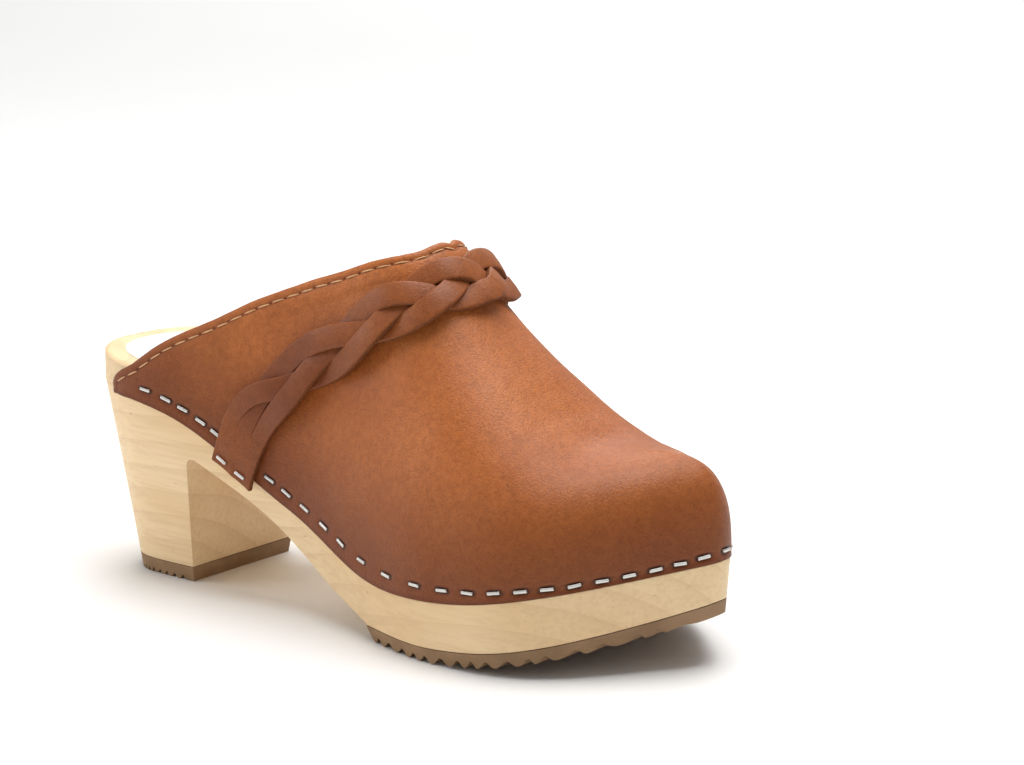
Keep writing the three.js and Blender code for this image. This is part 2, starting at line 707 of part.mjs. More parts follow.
const materials = {
  wood: new THREE.MeshStandardMaterial({ color: 0xdcb98a, roughness: 0.55, metalness: 0 }),
  rubber: new THREE.MeshStandardMaterial({ color: 0x9a7a58, roughness: 0.8, metalness: 0 }),
  leather: new THREE.MeshStandardMaterial({ color: 0xa8683e, roughness: 0.45, metalness: 0 }),
  strapLeather: new THREE.MeshStandardMaterial({ color: 0xa0633a, roughness: 0.5, metalness: 0 }),
  puff: new THREE.MeshStandardMaterial({ color: 0xcfc6b4, roughness: 0.9, metalness: 0 }),
  steel: new THREE.MeshStandardMaterial({ color: 0xc9c9c6, roughness: 0.3, metalness: 1 }),
  label: new THREE.MeshStandardMaterial({ color: 0xf1f1ee, roughness: 0.4, metalness: 0 }),
};

const clog = new THREE.Group();

function place(name, geometry, material) {
  const mesh = new THREE.Mesh(geometry, material);
  mesh.name = name;
  clog.add(mesh);
}

const places = staplePlaces();
const slots = joined(places.map(stapleSlot));

place("wooden_sole", geometryOf(solidOf(woodenSole()).subtract(slots)), materials.wood);
place("forefoot_tread", forefootTread(), materials.rubber);
place("heel_tread", heelTread(), materials.rubber);
place("leather_vamp", geometryOf(solidOf(vamp()).subtract(slots)), materials.leather);
place("toe_puff", toePuff(), materials.puff);
place("braided_strap", geometryOf(braidedStrap().subtract(slots)), materials.strapLeather);
place("heel_label", heelLabel(), materials.label);
places.forEach((staple, i) => {
  const geometry = stapleGeometry(legLength(staple)).applyMatrix4(stapleFrame(staple));
  place(`staple_${String(i + 1).padStart(2, "0")}`, geometry, materials.steel);
});

const box = new THREE.Box3().setFromObject(clog);
const middle = box.getCenter(new THREE.Vector3());
clog.position.set(-middle.x, -middle.y, -box.min.z);

export default clog;
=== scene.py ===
"""A high-heeled wooden clog for the right foot: carved wooden sole, ripple rubber treads, a stapled
leather vamp, a plaited leather strap over the instep and a round sticker on the footbed.

Shapes are worked out in millimetres along the sole (x from the heel's back to the toe, y to the
inner side, z up from the ground) and placed in the part's frame in metres. A station is a place
along the outline, the same as x except round the two rounded ends."""

import math
import bpy
import numpy as np
from mathutils import Matrix, Vector, noise


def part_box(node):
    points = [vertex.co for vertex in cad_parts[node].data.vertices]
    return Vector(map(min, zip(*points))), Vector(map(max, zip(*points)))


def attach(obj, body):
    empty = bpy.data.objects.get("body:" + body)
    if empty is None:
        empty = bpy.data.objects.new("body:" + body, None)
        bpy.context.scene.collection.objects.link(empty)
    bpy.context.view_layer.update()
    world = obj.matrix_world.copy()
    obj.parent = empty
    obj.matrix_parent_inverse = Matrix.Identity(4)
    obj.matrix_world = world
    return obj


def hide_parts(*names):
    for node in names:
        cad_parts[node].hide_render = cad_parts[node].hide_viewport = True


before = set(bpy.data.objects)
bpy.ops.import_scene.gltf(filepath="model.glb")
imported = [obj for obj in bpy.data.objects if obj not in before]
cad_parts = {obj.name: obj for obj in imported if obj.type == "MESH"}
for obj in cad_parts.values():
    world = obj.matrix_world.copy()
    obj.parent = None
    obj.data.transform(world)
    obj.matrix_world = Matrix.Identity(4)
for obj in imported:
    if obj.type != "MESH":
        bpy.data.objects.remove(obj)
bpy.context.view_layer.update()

# ---- Sizes, in millimetres ------------------------------------------------------------------------

SOLE_LENGTH = 248.5
HEEL_WIDTH = 72.6
WAIST_WIDTH = 64.5
BALL_WIDTH = 95
TOE_WIDTH = 88
OUTER_TOE_TIP = 18.3
INNER_TOE_TIP = 22
HEEL_ROUND = 35
HEEL_ROUND_POWER = 2.2
TOE_ROUND = 64
TOE_ROUND_POWER = 2.3
TOE_START = SOLE_LENGTH - TOE_ROUND
HEEL_BLOCK = 56.7
LEATHER_OVERLAP = 11
DISH_DEPTH = 3.5
RIM_RADIUS = 2.6
ARCH_TOP = 48.5
BREAST_FILLET = 4.5
TOE_SPRING_START = 160
TOE_SPRING_RADIUS = 233

TREAD_START = 138
TREAD_THICKNESS = 4.6
TREAD_END_CUT = 4
RIB_PITCH = 6.2
RIB_DEPTH = 2.1
HEEL_TREAD_THICKNESS = 5.3
HEEL_RIB_PITCH = 4.2
HEEL_RIB_DEPTH = 1.7

GAP = 0.3
LEATHER = 2.0
LEATHER_PROUD = 0.7
LET_IN_SLACK = 0.7
LEAST_LET_IN = 0.05
FULL_LET_IN = LEATHER - LEATHER_PROUD + GAP + LET_IN_SLACK
HEM_THICKNESS = 3.3
SINGLE_SHARE = 0.6  # of the hem's thickness, where the leather isn't folded
VAMP_BACK = 22
TOPLINE_FRONT = 143
TOE_BOX_ROUND = 22
INSTEP_HEIGHT = 126
TOE_BOX_HEIGHT = 67.6
TOE_BOX_POWER = 3.05
CREST_ROUND = 0.03
STITCH_PITCH = 6.0
STITCH_INSET = 2.9

TAB_WIDTH = 19
TAB_THICKNESS = 1.95
TAB_SKEW = 7.6
TAB_DROP = 3.5
TAB_RISE = 14.8
LAST_HALF_AT_TAB = 38
TAB_STAPLES = (74.6, 82)
TAB_STAPLE_RISE = -0.5
STRAP_ROOT = 78
STRAP_CREST = 153.8
STRAP_LIFT = 0.5
BRAID_STEPS = 14
BRAID_SWING = 6.0
BRAID_LIFT = 1.7

LABEL_AT = 30.5
LABEL_RADIUS = 25
LABEL_THICKNESS = 0.25
LABEL_TOP = 0.32
STAPLE_CROWN = (4.3, 1.05, 0.7)
STAPLE_LEG = 5.2
STAPLE_LEG_FROM = 1.6
STAPLES_BEHIND = [41.5, 50.2, 57.2, 64.5, 70.5]
OUTER_STAPLES = [
    92.7, 100.1, 108.7, 118.7, 128.5, 140.5, 154.2, 167.8, 179, 187.3, 193.2, 198.5, 203.3, 208,
    212.7, 217.6, 223, 229, 237, 250,
]
INNER_STAPLES = [
    92.7, 101.5, 111, 121, 131.5, 142.5, 154, 165.5, 176.5, 186, 192.5, 198.8, 205, 211, 217.3,
    224.5, 233.5,
]
DEGREE = math.pi / 180

# ---- Curves ---------------------------------------------------------------------------------------


def through(*pairs):
    """A smooth curve through (x, value) pairs, as a function of x."""
    xs, ys = np.array(pairs, float).T
    widths, slopes = np.diff(xs), np.diff(ys) / np.diff(xs)
    tangents = np.concatenate([slopes[:1], slopes, slopes[-1:]])[: len(xs)].copy()
    if len(xs) > 2:
        turned = slopes[:-1] * widths[1:] + slopes[1:] * widths[:-1]
        tangents[1:-1] = turned / (widths[1:] + widths[:-1])
    tangents[-1] = slopes[-1]

    def value(x):
        x = np.asarray(x, float)
        i = np.clip(np.searchsorted(xs, x) - 1, 0, len(xs) - 2)
        t = np.clip((x - xs[i]) / widths[i], 0, 1)
        rise = (ys[i + 1] - ys[i]) * t * t * (3 - 2 * t)
        return ys[i] + rise + widths[i] * t * (1 - t) * (tangents[i] * (1 - t) - tangents[i + 1] * t)

    return value


def eased(x, start, end):
    t = np.clip((np.asarray(x, float) - start) / (end - start), 0, 1)
    return t * t * (3 - 2 * t)


def round_end(share, power):
    return (1 - (1 - np.clip(share, 0, 1)) ** power) ** (1 / power)


def half_width(toe_tip):
    return through(
        (0, HEEL_WIDTH * 0.44), (40, HEEL_WIDTH / 2), (105, WAIST_WIDTH / 2), (175, BALL_WIDTH / 2),
        (215, TOE_WIDTH / 2), (SOLE_LENGTH, toe_tip),
    )


outer_half = half_width(OUTER_TOE_TIP)
inner_half = half_width(INNER_TOE_TIP)
centreline = through((0, 0), (105, 1.6), (175, -0.3), (SOLE_LENGTH, 7.2))
edge_height = through(
    (0, 69), (10, 68.5), (50, 62.5), (100, 36.5), (140, 21.7), (175, 21.2), (215, 27.87),
    (SOLE_LENGTH, 35.1),
)
side_taper = through((0, 0.187), (HEEL_BLOCK, 0.187), (TREAD_START, 0.07), (SOLE_LENGTH, 0.07))
side_lean = through((0, 0), (HEEL_BLOCK, -0.106), (HEEL_BLOCK + 25, 0), (SOLE_LENGTH, 0))
arch_curve = through((HEEL_BLOCK, ARCH_TOP), (90, 30.7), (115, 13.3), (TREAD_START, TREAD_THICKNESS + GAP))
ridge_height = through(
    (0, 150), (66, 178), (85, 182), (105, 168), (121, 150), (TOPLINE_FRONT, INSTEP_HEIGHT),
    (163, 103.2), (180, 87.75), (196, 74.02), (206, 67.9), (215, 66.72),
    (SOLE_LENGTH - TOE_BOX_ROUND, TOE_BOX_HEIGHT),
)
wall_power = through(
    (0, 2), (TOPLINE_FRONT, 1.8), (190, 2.4), (SOLE_LENGTH - TOE_BOX_ROUND, TOE_BOX_POWER),
)
ridge_skew = through((0, 0), (TOPLINE_FRONT, 2.8), (200, 0.5), (SOLE_LENGTH - TOE_BOX_ROUND, 0))
strap_climb = through(
    (0, STRAP_ROOT), (10 * DEGREE, 87.4), (20 * DEGREE, 103), (30 * DEGREE, 116.4), (40 * DEGREE, 127.9),
    (52 * DEGREE, 138.8), (62 * DEGREE, 145.7), (72 * DEGREE, 150.4), (90 * DEGREE, STRAP_CREST),
)
staple_rise = through(
    (40, 5.2), (66, 5.3), (100, 5), (140, 5.6), (170, 4.7), (195, 3.2), (206, 2.3), (225, 2.1), (236, 2.7),
    (SOLE_LENGTH, 3.1),
)


def spring_height(x):
    return np.maximum(0, x - TOE_SPRING_START) ** 2 / (2 * TOE_SPRING_RADIUS)


def rim_height(x):
    return edge_height(x) + LEATHER_OVERLAP


# ---- The sole's outline ---------------------------------------------------------------------------


def foot_x(station):
    """Stations run evenly round the outline's two rounded ends, where x hardly changes."""
    station = np.asarray(station, float)
    heel = HEEL_ROUND * (1 - np.sin(np.pi / 2 * np.clip(1 - station / HEEL_ROUND, 0, 1)))
    toe = TOE_START + TOE_ROUND * np.sin(np.pi / 2 * np.clip((station - TOE_START) / TOE_ROUND, 0, 1))
    return np.where(station < HEEL_ROUND, heel, np.where(station > TOE_START, toe, station))


def station_of(x):
    x = np.asarray(x, float)
    heel = HEEL_ROUND * (1 - np.arcsin(np.clip(1 - x / HEEL_ROUND, -1, 1)) / (np.pi / 2))
    toe = TOE_START + TOE_ROUND * np.arcsin(np.clip((x - TOE_START) / TOE_ROUND, -1, 1)) / (np.pi / 2)
    return np.where(x < HEEL_ROUND, heel, np.where(x > TOE_START, toe, x))


def outline(station, side):
    """x and y of the outline. Side is -1 on the outer side. Past an end, it goes on round it."""
    station = np.asarray(station, float)
    side = np.broadcast_to(side, station.shape).astype(float)
    before, beyond = station < 0, station > SOLE_LENGTH
    side = np.where(before | beyond, -side, side)
    station = np.where(before, -station, np.where(beyond, 2 * SOLE_LENGTH - station, station))
    x = foot_x(station)
    ends = round_end(x / HEEL_ROUND, HEEL_ROUND_POWER)
    ends = ends * round_end((SOLE_LENGTH - x) / TOE_ROUND, TOE_ROUND_POWER)
    return x, centreline(x) + side * np.where(side < 0, outer_half(x), inner_half(x)) * ends


def outward(station, side):
    (x0, y0), (x1, y1) = outline(station - 1, side), outline(station + 1, side)
    run = np.hypot(x1 - x0, y1 - y0)
    return -side * (y1 - y0) / run, side * (x1 - x0) / run


def let_in(x):
    """How deep the wood is let in for the vamp. It runs out towards the vamp's back corners."""
    return LEAST_LET_IN + (FULL_LET_IN - LEAST_LET_IN) * eased(x, VAMP_BACK - 4, VAMP_BACK + 40)


def side_point(station, height, side, inset=0.0):
    x, y = outline(station, side)
    nx, ny = outward(station, side)
    depth = np.maximum(0, edge_height(x) - height)
    push = -side_taper(x) * depth - inset
    return np.stack([x + nx * push + side_lean(x) * depth, y + ny * push, height + 0 * x], -1)


def wood_bottom(x):
    into = np.clip(BREAST_FILLET - (x - HEEL_BLOCK), 0, BREAST_FILLET)
    arch = arch_curve(x) - (BREAST_FILLET - np.sqrt(BREAST_FILLET**2 - into**2))
    return np.where(x >= TREAD_START, spring_height(x) + TREAD_THICKNESS + GAP, arch)


# ---- The last: the surface that the leather is drawn over -----------------------------------------


def ridge_x(station):
    """Where on the ridge the rib that starts at a station ends: round the toe the ribs fan out."""
    t = (station - TOE_START) / TOE_ROUND
    start, span = TOE_ROUND * np.pi / 2, TOE_ROUND - TOE_BOX_ROUND
    fan = start * t + (3 * span - 2 * start - TOE_BOX_ROUND) * t * t
    fan += (start + TOE_BOX_ROUND - 2 * span) * t**3
    return np.where(t <= 0, foot_x(station), TOE_START + fan)


def last_point(station, angle):
    """The outside of the vamp. Angle 0 is the outer lower edge, a quarter turn the ridge, a half
    turn the inner lower edge. Past either edge it hangs straight down."""
    station, angle = np.broadcast_arrays(np.asarray(station, float), np.asarray(angle, float))
    beyond = station > SOLE_LENGTH
    angle = np.where(beyond, np.pi - angle, angle)
    station = np.where(beyond, 2 * SOLE_LENGTH - station, station)
    side = np.where(angle < np.pi / 2, -1.0, 1.0)
    x, y = outline(station, side)
    nx, ny = outward(station, side)
    edge = edge_height(x)
    proud = LEATHER_PROUD + FULL_LET_IN - let_in(x)
    x, y = x + nx * proud, y + ny * proud
    top = ridge_x(station)
    rise = ridge_height(top) - edge
    past = np.maximum(0, np.maximum(-angle, angle - np.pi))
    turn = np.clip(angle, 0, np.pi)
    power = wall_power(top)
    across, up = np.abs(np.cos(turn)), np.sin(turn)
    eased_across = np.sqrt(across**2 + CREST_ROUND) ** power - CREST_ROUND ** (power / 2)
    reach = (eased_across + up**power) ** (-1 / power)
    out = across * reach
    ridge_y = centreline(top) + ridge_skew(top)
    height = edge + rise * (up * reach - past)
    return np.stack([top + (x - top) * out, ridge_y + (y - ridge_y) * out, height], -1)


def last_frame(station, angle, step=0.01):
    """Point, forward and round directions, and outward normal on the last."""
    forward = (last_point(station + 1, angle) - last_point(station - 1, angle)) / 2
    round_ = (last_point(station, angle + step) - last_point(station, angle - step)) / (2 * step)
    normal = np.cross(forward, round_)
    size = np.linalg.norm(normal, axis=-1, keepdims=True)
    normal = np.where(size > 1e-6, normal / np.maximum(size, 1e-9), np.array([0.0, 0.0, 1.0]))
    return last_point(station, angle), forward, round_, normal


def angle_at_rise(station, rise):
    folded = np.where(station > SOLE_LENGTH, 2 * SOLE_LENGTH - station, station)
    return np.arctan2(rise, ridge_height(ridge_x(folded)) - edge_height(foot_x(folded)))


topline_station = through(
    (0, float(station_of(VAMP_BACK)) + 2.6), (3 * DEGREE, 29.6), (10 * DEGREE, 41.9),
    (20 * DEGREE, 67.2), (28 * DEGREE, 86.4), (40 * DEGREE, 106.9), (55 * DEGREE, 124),
    (72 * DEGREE, 138.2), (90 * DEGREE, TOPLINE_FRONT),
)


def topline_at(angle):
    return topline_station(np.minimum(angle, np.pi - angle))


# ---- Meshes ---------------------------------------------------------------------------------------

sole_low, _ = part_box("wooden_sole")
label_low, label_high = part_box("heel_label")
HEEL_BACK = np.array([
    sole_low.x * 1000,
    (label_low.y + label_high.y) * 500 - float(centreline(LABEL_AT)),
    0.0,
])


def placed(points):
    """Points along the sole, in millimetres, as points in the part's frame, in metres."""
    return (np.asarray(points, float) + HEEL_BACK) / 1000


def vertices_of(piece):
    co = np.empty(len(piece.data.vertices) * 3)
    piece.data.vertices.foreach_get("co", co)
    return co.reshape(-1, 3)


def move_vertices(piece, co):
    piece.data.vertices.foreach_set("co", np.asarray(co, float).ravel())
    piece.data.update()


def only(piece):
    bpy.ops.object.select_all(action="DESELECT")
    piece.select_set(True)
    bpy.context.view_layer.objects.active = piece


def primitive(add, **settings):
    """A new primitive, with nothing else selected."""
    bpy.ops.object.select_all(action="DESELECT")
    add(**settings)
    return bpy.context.object


def laid_grid(name, along, across, shape):
    """A grid of along by across faces, with each corner laid at shape(i, j)."""
    piece = primitive(bpy.ops.mesh.primitive_grid_add, x_subdivisions=along, y_subdivisions=across, size=2)
    piece.name = name
    co = vertices_of(piece)
    i = np.rint((co[:, 0] + 1) / 2 * along).astype(int)
    j = np.rint((co[:, 1] + 1) / 2 * across).astype(int)
    move_vertices(piece, placed(shape(i, j)))
    return piece


def spanning(shape, column, row, count):
    """The surface straight across from a line of the outer side to the same line of the inner side."""
    def face(i, j):
        outer, inner = (shape(side)(column(i), row(i)) for side in (-1.0, 1.0))
        return outer + (inner - outer) * (j / count)[:, None]
    return face


def in_edit(piece, *steps):
    """Runs edit-mode steps on the whole of a piece."""
    only(piece)
    bpy.ops.object.mode_set(mode="EDIT")
    bpy.ops.mesh.select_all(action="SELECT")
    for step in steps:
        step()
    bpy.ops.object.mode_set(mode="OBJECT")


def weld():
    bpy.ops.mesh.remove_doubles(threshold=0.00001)
    bpy.ops.mesh.dissolve_degenerate(threshold=0.000001)


def face_out():
    bpy.ops.mesh.select_all(action="SELECT")
    bpy.ops.mesh.normals_make_consistent(inside=False)


def close_ends():
    bpy.ops.mesh.fill_holes(sides=0)


def faced(piece, way):
    """Turns an open sheet over if its faces point away from a direction."""
    if sum(polygon.normal.dot(Vector(way)) for polygon in piece.data.polygons) < 0:
        in_edit(piece, bpy.ops.mesh.flip_normals)


def joined(name, pieces):
    bpy.ops.object.select_all(action="DESELECT")
    for piece in pieces:
        piece.select_set(True)
    bpy.context.view_layer.objects.active = pieces[0]
    bpy.ops.object.join()
    pieces[0].name = name
    pieces[0].data.name = name
    return pieces[0]


def with_modifier(piece, kind, **settings):
    only(piece)
    modifier = piece.modifiers.new(kind.title(), kind)
    for key, value in settings.items():
        setattr(modifier, key, value)
    bpy.ops.object.modifier_apply(modifier=modifier.name)


def softened(piece, width, angle, segments=2):
    """Rounds the sharp edges."""
    with_modifier(piece, "BEVEL", width=width / 1000, segments=segments, limit_method="ANGLE",
                  angle_limit=angle * DEGREE, harden_normals=False)


def smooth(piece, angle):
    only(piece)
    bpy.ops.object.shade_smooth_by_angle(angle=angle * DEGREE)


def finished(piece, materials, slot, *nodes):
    for material in materials:
        piece.data.materials.append(material)
    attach(piece, "root")
    if nodes:
        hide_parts(*nodes)
    return piece


def copy_at(pattern, name, axes, seat):
    """A copy of a pattern modelled in millimetres at the origin, turned to three axes and seated."""
    basis, seat = np.stack(axes, -1) / 1000, placed(seat)
    mesh = pattern.data.copy()
    mesh.transform(Matrix([[*basis[row], seat[row]] for row in range(3)] + [[0, 0, 0, 1]]))
    piece = bpy.data.objects.new(name, mesh)
    bpy.context.collection.objects.link(piece)
    return piece


def cut_from(piece, *materials):
    """Materials for a piece of leather: grain side, flesh side and cut edge."""
    for material in materials:
        piece.data.materials.append(material)


def attribute(piece, name, values):
    layer = piece.data.attributes.new(name, "FLOAT", "POINT")
    layer.data.foreach_set("value", np.asarray(values, np.float32))


def nearest(points, line):
    """For each point, how far the nearest point of a line is, and that point's place in the line."""
    far, index = np.empty(len(points)), np.empty(len(points), int)
    for start in range(0, len(points), 2000):
        part = points[start : start + 2000]
        square = ((part[:, None, :] - line[None]) ** 2).sum(-1)
        index[start : start + 2000] = square.argmin(1)
        far[start : start + 2000] = np.sqrt(square.min(1))
    return far, index


def unit(vectors):
    return vectors / np.linalg.norm(vectors, axis=-1, keepdims=True)


def spaced(start, end, count):
    return np.linspace(start, end, count + 1)


# ---- Shader groups --------------------------------------------------------------------------------


def new_group(name, inputs, outputs):
    group = bpy.data.node_groups.new(name, "ShaderNodeTree")
    for socket, kind, default in inputs:
        made = group.interface.new_socket(name=socket, in_out="INPUT", socket_type="NodeSocket" + kind)
        made.default_value = default
    for socket, kind in outputs:
        group.interface.new_socket(name=socket, in_out="OUTPUT", socket_type="NodeSocket" + kind)
    return group, group.nodes.new("NodeGroupInput").outputs, group.nodes.new("NodeGroupOutput").inputs


class Bench:
    """Short words for adding and joining shader nodes in one tree."""

    def __init__(self, tree):
        self.tree = tree

    def set(self, socket, value):
        if isinstance(value, bpy.types.NodeSocket):
            self.tree.links.new(value, socket)
        else:
            socket.default_value = value

    def node(self, kind, inputs=None, **settings):
        node = self.tree.nodes.new("ShaderNode" + kind)
        for key, value in settings.items():
            setattr(node, key, value)
        for key, value in (inputs or {}).items():
            self.set(node.inputs[key], value)
        return node

    def math(self, operation, a, b=0.0, c=0.0):
        return self.node("Math", {0: a, 1: b, 2: c}, operation=operation).outputs[0]

    def times(self, a, b):
        return self.math("MULTIPLY", a, b)

    def band(self, value, low, high, start=0.0, end=1.0):
        """Value from low to high, as start to end, smoothly and held outside."""
        inputs = {0: value, 1: low, 2: high, 3: start, 4: end}
        return self.node("MapRange", inputs, interpolation_type="SMOOTHSTEP").outputs[0]

    def mix(self, share, a, b):
        node = self.node("Mix", data_type="RGBA")
        self.set(node.inputs[0], share)
        self.set(node.inputs[6], a)
        self.set(node.inputs[7], b)
        return node.outputs[2]

    def stretched(self, vector, scale, turn=(0.0, 0.0, 0.0), shift=(0.0, 0.0, 0.0)):
        inputs = {"Vector": vector, "Scale": scale, "Rotation": turn, "Location": shift}
        return self.node("Mapping", inputs).outputs[0]

    def noise(self, vector, scale, detail=3.0, rough=0.5, distortion=0.0):
        inputs = {
            "Vector": vector, "Scale": scale, "Detail": detail, "Roughness": rough, "Distortion": distortion,
        }
        return self.node("TexNoise", inputs).outputs[0]

    def field(self, name):
        return self.node("Attribute", attribute_name=name).outputs["Fac"]

    def group(self, tree, **inputs):
        node = self.tree.nodes.new("ShaderNodeGroup")
        node.node_tree = tree
        for key, value in inputs.items():
            self.set(node.inputs[key.replace("_", " ")], value)
        return node.outputs


def colour(red, green, blue):
    """An sRGB colour, given 0 to 255, as a linear one."""
    def linear(c):
        c /= 255
        return c / 12.92 if c <= 0.04045 else ((c + 0.055) / 1.055) ** 2.4
    return (linear(red), linear(green), linear(blue), 1.0)


def grain_group():
    """Leather grain: pebbles with fine creases between them, and cloudy changes of tone."""
    group, given, made = new_group(
        "leather grain",
        [("Vector", "Vector", (0, 0, 0)), ("Pebble", "Float", 1100.0), ("Crease", "Float", 0.5)],
        [("Height", "Float"), ("Cloud", "Float"), ("Fleck", "Float")],
    )
    b, at = Bench(group), given["Vector"]
    cells = b.node("TexVoronoi", {"Vector": at, "Scale": given["Pebble"]}, feature="SMOOTH_F1")
    pebble = b.band(cells.outputs["Distance"], 0.15, 0.75, 1.0, 0.0)
    fine = b.noise(at, 2600.0, 3.0, 0.6)
    crease = b.noise(b.stretched(at, (1.0, 0.5, 0.5)), 820.0, 3.0, 0.6, 0.5)
    line = b.math("ABSOLUTE", b.math("SUBTRACT", crease, 0.5))
    cut = b.times(b.band(line, 0.0, 0.12, 1.0, 0.0), given["Crease"])
    tall = b.math("MULTIPLY_ADD", fine, 0.35, b.times(pebble, 0.65))
    b.set(made["Height"], b.math("SUBTRACT", tall, cut))
    b.set(made["Cloud"], b.noise(at, 16.0, 4.0, 0.55, 0.3))
    b.set(made["Fleck"], b.noise(at, 420.0, 4.0, 0.65))
    return group


def wood_group():
    """Fine straight grain along the sole, growth rings round a far pith, and short pores."""
    group, given, made = new_group(
        "wood grain",
        [("Vector", "Vector", (0, 0, 0))],
        [("Ring", "Float"), ("Fibre", "Float"), ("Pore", "Float"), ("Cloud", "Float")],
    )
    b, at = Bench(group), given["Vector"]
    sway = b.noise(b.stretched(at, (0.25, 1.0, 1.0)), 14.0, 2.0)
    sideways, down = b.times(sway, 0.03), b.times(sway, -0.022)
    bend = b.node("CombineXYZ", {1: sideways, 2: down}).outputs[0]
    warped = b.node("VectorMath", {0: at, 1: bend}, operation="ADD").outputs[0]
    centre = b.stretched(warped, (1.0, 1.0, 1.0), turn=(0.0, 0.1, 0.05), shift=(0.0, 0.035, 0.06))
    rings = b.node(
        "TexWave", {"Vector": centre, "Scale": 34.0, "Distortion": 1.3, "Detail": 2.0, "Detail Scale": 0.6},
        wave_type="RINGS", rings_direction="X", wave_profile="SAW",
    )
    b.set(made["Ring"], b.math("POWER", rings.outputs["Fac"], 3.0))
    b.set(made["Fibre"], b.noise(b.stretched(at, (14.0, 420.0, 420.0)), 1.6, 4.0, 0.6))
    dots = b.noise(b.stretched(at, (150.0, 900.0, 900.0)), 1.0, 2.0, 0.5)
    b.set(made["Pore"], b.band(dots, 0.7, 0.78))
    b.set(made["Cloud"], b.noise(b.stretched(at, (12.0, 30.0, 30.0)), 1.0, 3.0, 0.55))
    return group


def wear_group():
    """Handling marks: broad smudges and small scuffs."""
    group, given, made = new_group(
        "handling",
        [("Vector", "Vector", (0, 0, 0)), ("Scale", "Float", 60.0)],
        [("Smudge", "Float"), ("Scuff", "Float")],
    )
    b, at = Bench(group), given["Vector"]
    size = b.times(given["Scale"], 9.0)
    b.set(made["Smudge"], b.noise(at, given["Scale"], 4.0, 0.6, 0.3))
    b.set(made["Scuff"], b.band(b.noise(at, size, 5.0, 0.7), 0.56, 0.72))
    return group


GRAIN, WOOD, HANDLING = grain_group(), wood_group(), wear_group()


def new_material(name, **fixed):
    """A material with a Principled shader, and the bench, shader and Object coordinates to build on."""
    material = bpy.data.materials.new(name)
    material.use_nodes = True
    b = Bench(material.node_tree)
    shader = material.node_tree.nodes["Principled BSDF"]
    for key, value in fixed.items():
        shader.inputs[key.replace("_", " ")].default_value = value
    return material, b, shader, b.node("TexCoord").outputs["Object"]


def coated(b, shader, tone, rough, height, strength, distance):
    """Sets a shader's colour and roughness, and a bump with its distance in millimetres."""
    node = b.node("Bump", {"Height": height, "Strength": strength, "Distance": distance / 1000})
    b.set(shader.inputs["Base Color"], tone)
    b.set(shader.inputs["Roughness"], rough)
    b.set(shader.inputs["Normal"], node.outputs[0])


def grain_leather(name, deep, mid, bright, stitched=True):
    """Tanned leather. The stitched one has painted shade that darkens it towards its lower edge, is darker
    still right at that edge, and is darker at its holes, folds and staples.
    """
    material, b, shader, at = new_material(name, Specular_IOR_Level=0.29, Sheen_Weight=0.03)
    grain = b.group(GRAIN, Vector=at, Pebble=1700.0, Crease=0.32)
    wear = b.group(HANDLING, Vector=at, Scale=26.0)
    tone = b.mix(b.band(grain["Cloud"], 0.3, 0.72), mid, bright)
    tone = b.mix(b.band(wear["Smudge"], 0.5, 0.8, 0.0, 0.22), tone, deep)
    tone = b.mix(b.band(grain["Fleck"], 0.35, 0.65, 0.2, 0.0), tone, deep)
    tone = b.mix(b.times(b.band(grain["Height"], -0.2, 0.4, 1.0, 0.0), 0.26), tone, deep)
    height = grain["Height"]
    if stitched:
        # Painted shade: darker towards the vamp's lower edge, fading out 50 mm above it; the next line darkens
        # it further within 2.2 mm of the edge
        tone = b.mix(b.band(b.field("above edge"), 0.0, 50.0, 0.72, 0.0), tone, deep)
        tone = b.mix(b.band(b.field("above edge"), 0.0, 2.2, 0.5, 0.0), tone, deep)
        pressed = b.field("pressed")
        tone = b.mix(b.times(b.band(pressed, 0.25, 0.95), 0.8), tone, colour(38, 17, 8))
        along, inset = b.field("along hem"), b.field("hem inset")
        beat = b.math("PINGPONG", along, STITCH_PITCH / 2)
        off = b.math("ABSOLUTE", b.math("SUBTRACT", inset, STITCH_INSET))
        far = b.math("SQRT", b.math("ADD", b.math("POWER", beat, 2.0), b.math("POWER", off, 2.0)))
        hole = b.band(far, 0.3, 0.75, 1.0, 0.0)
        seam = b.band(off, 0.2, 1.1, 0.35, 0.0)
        turned = b.band(inset, 0.0, 1.0, 0.4, 0.0)
        marks = b.math("MAXIMUM", b.math("MAXIMUM", b.times(hole, 0.85), seam), turned)
        tone = b.mix(marks, tone, deep)
        height = b.math("SUBTRACT", height, b.times(hole, 2.0))
    rough = b.band(wear["Smudge"], 0.35, 0.7, 0.4, 0.5)
    coated(b, shader, tone, rough, height, 0.7 if stitched else 0.45, 0.14)
    return material


def raw_leather(name, dark, light, scale=700.0):
    """The flesh side or a cut edge: short fibres, no shine."""
    material, b, shader, at = new_material(name, Specular_IOR_Level=0.2)
    nap = b.noise(at, scale, 5.0, 0.7)
    wear = b.group(HANDLING, Vector=at, Scale=45.0)
    tone = b.mix(b.band(nap, 0.35, 0.66), dark, light)
    tone = b.mix(b.band(wear["Smudge"], 0.45, 0.75, 0.0, 0.4), tone, dark)
    coated(b, shader, tone, b.band(nap, 0.3, 0.7, 0.75, 0.95), nap, 0.5, 0.2)
    return material


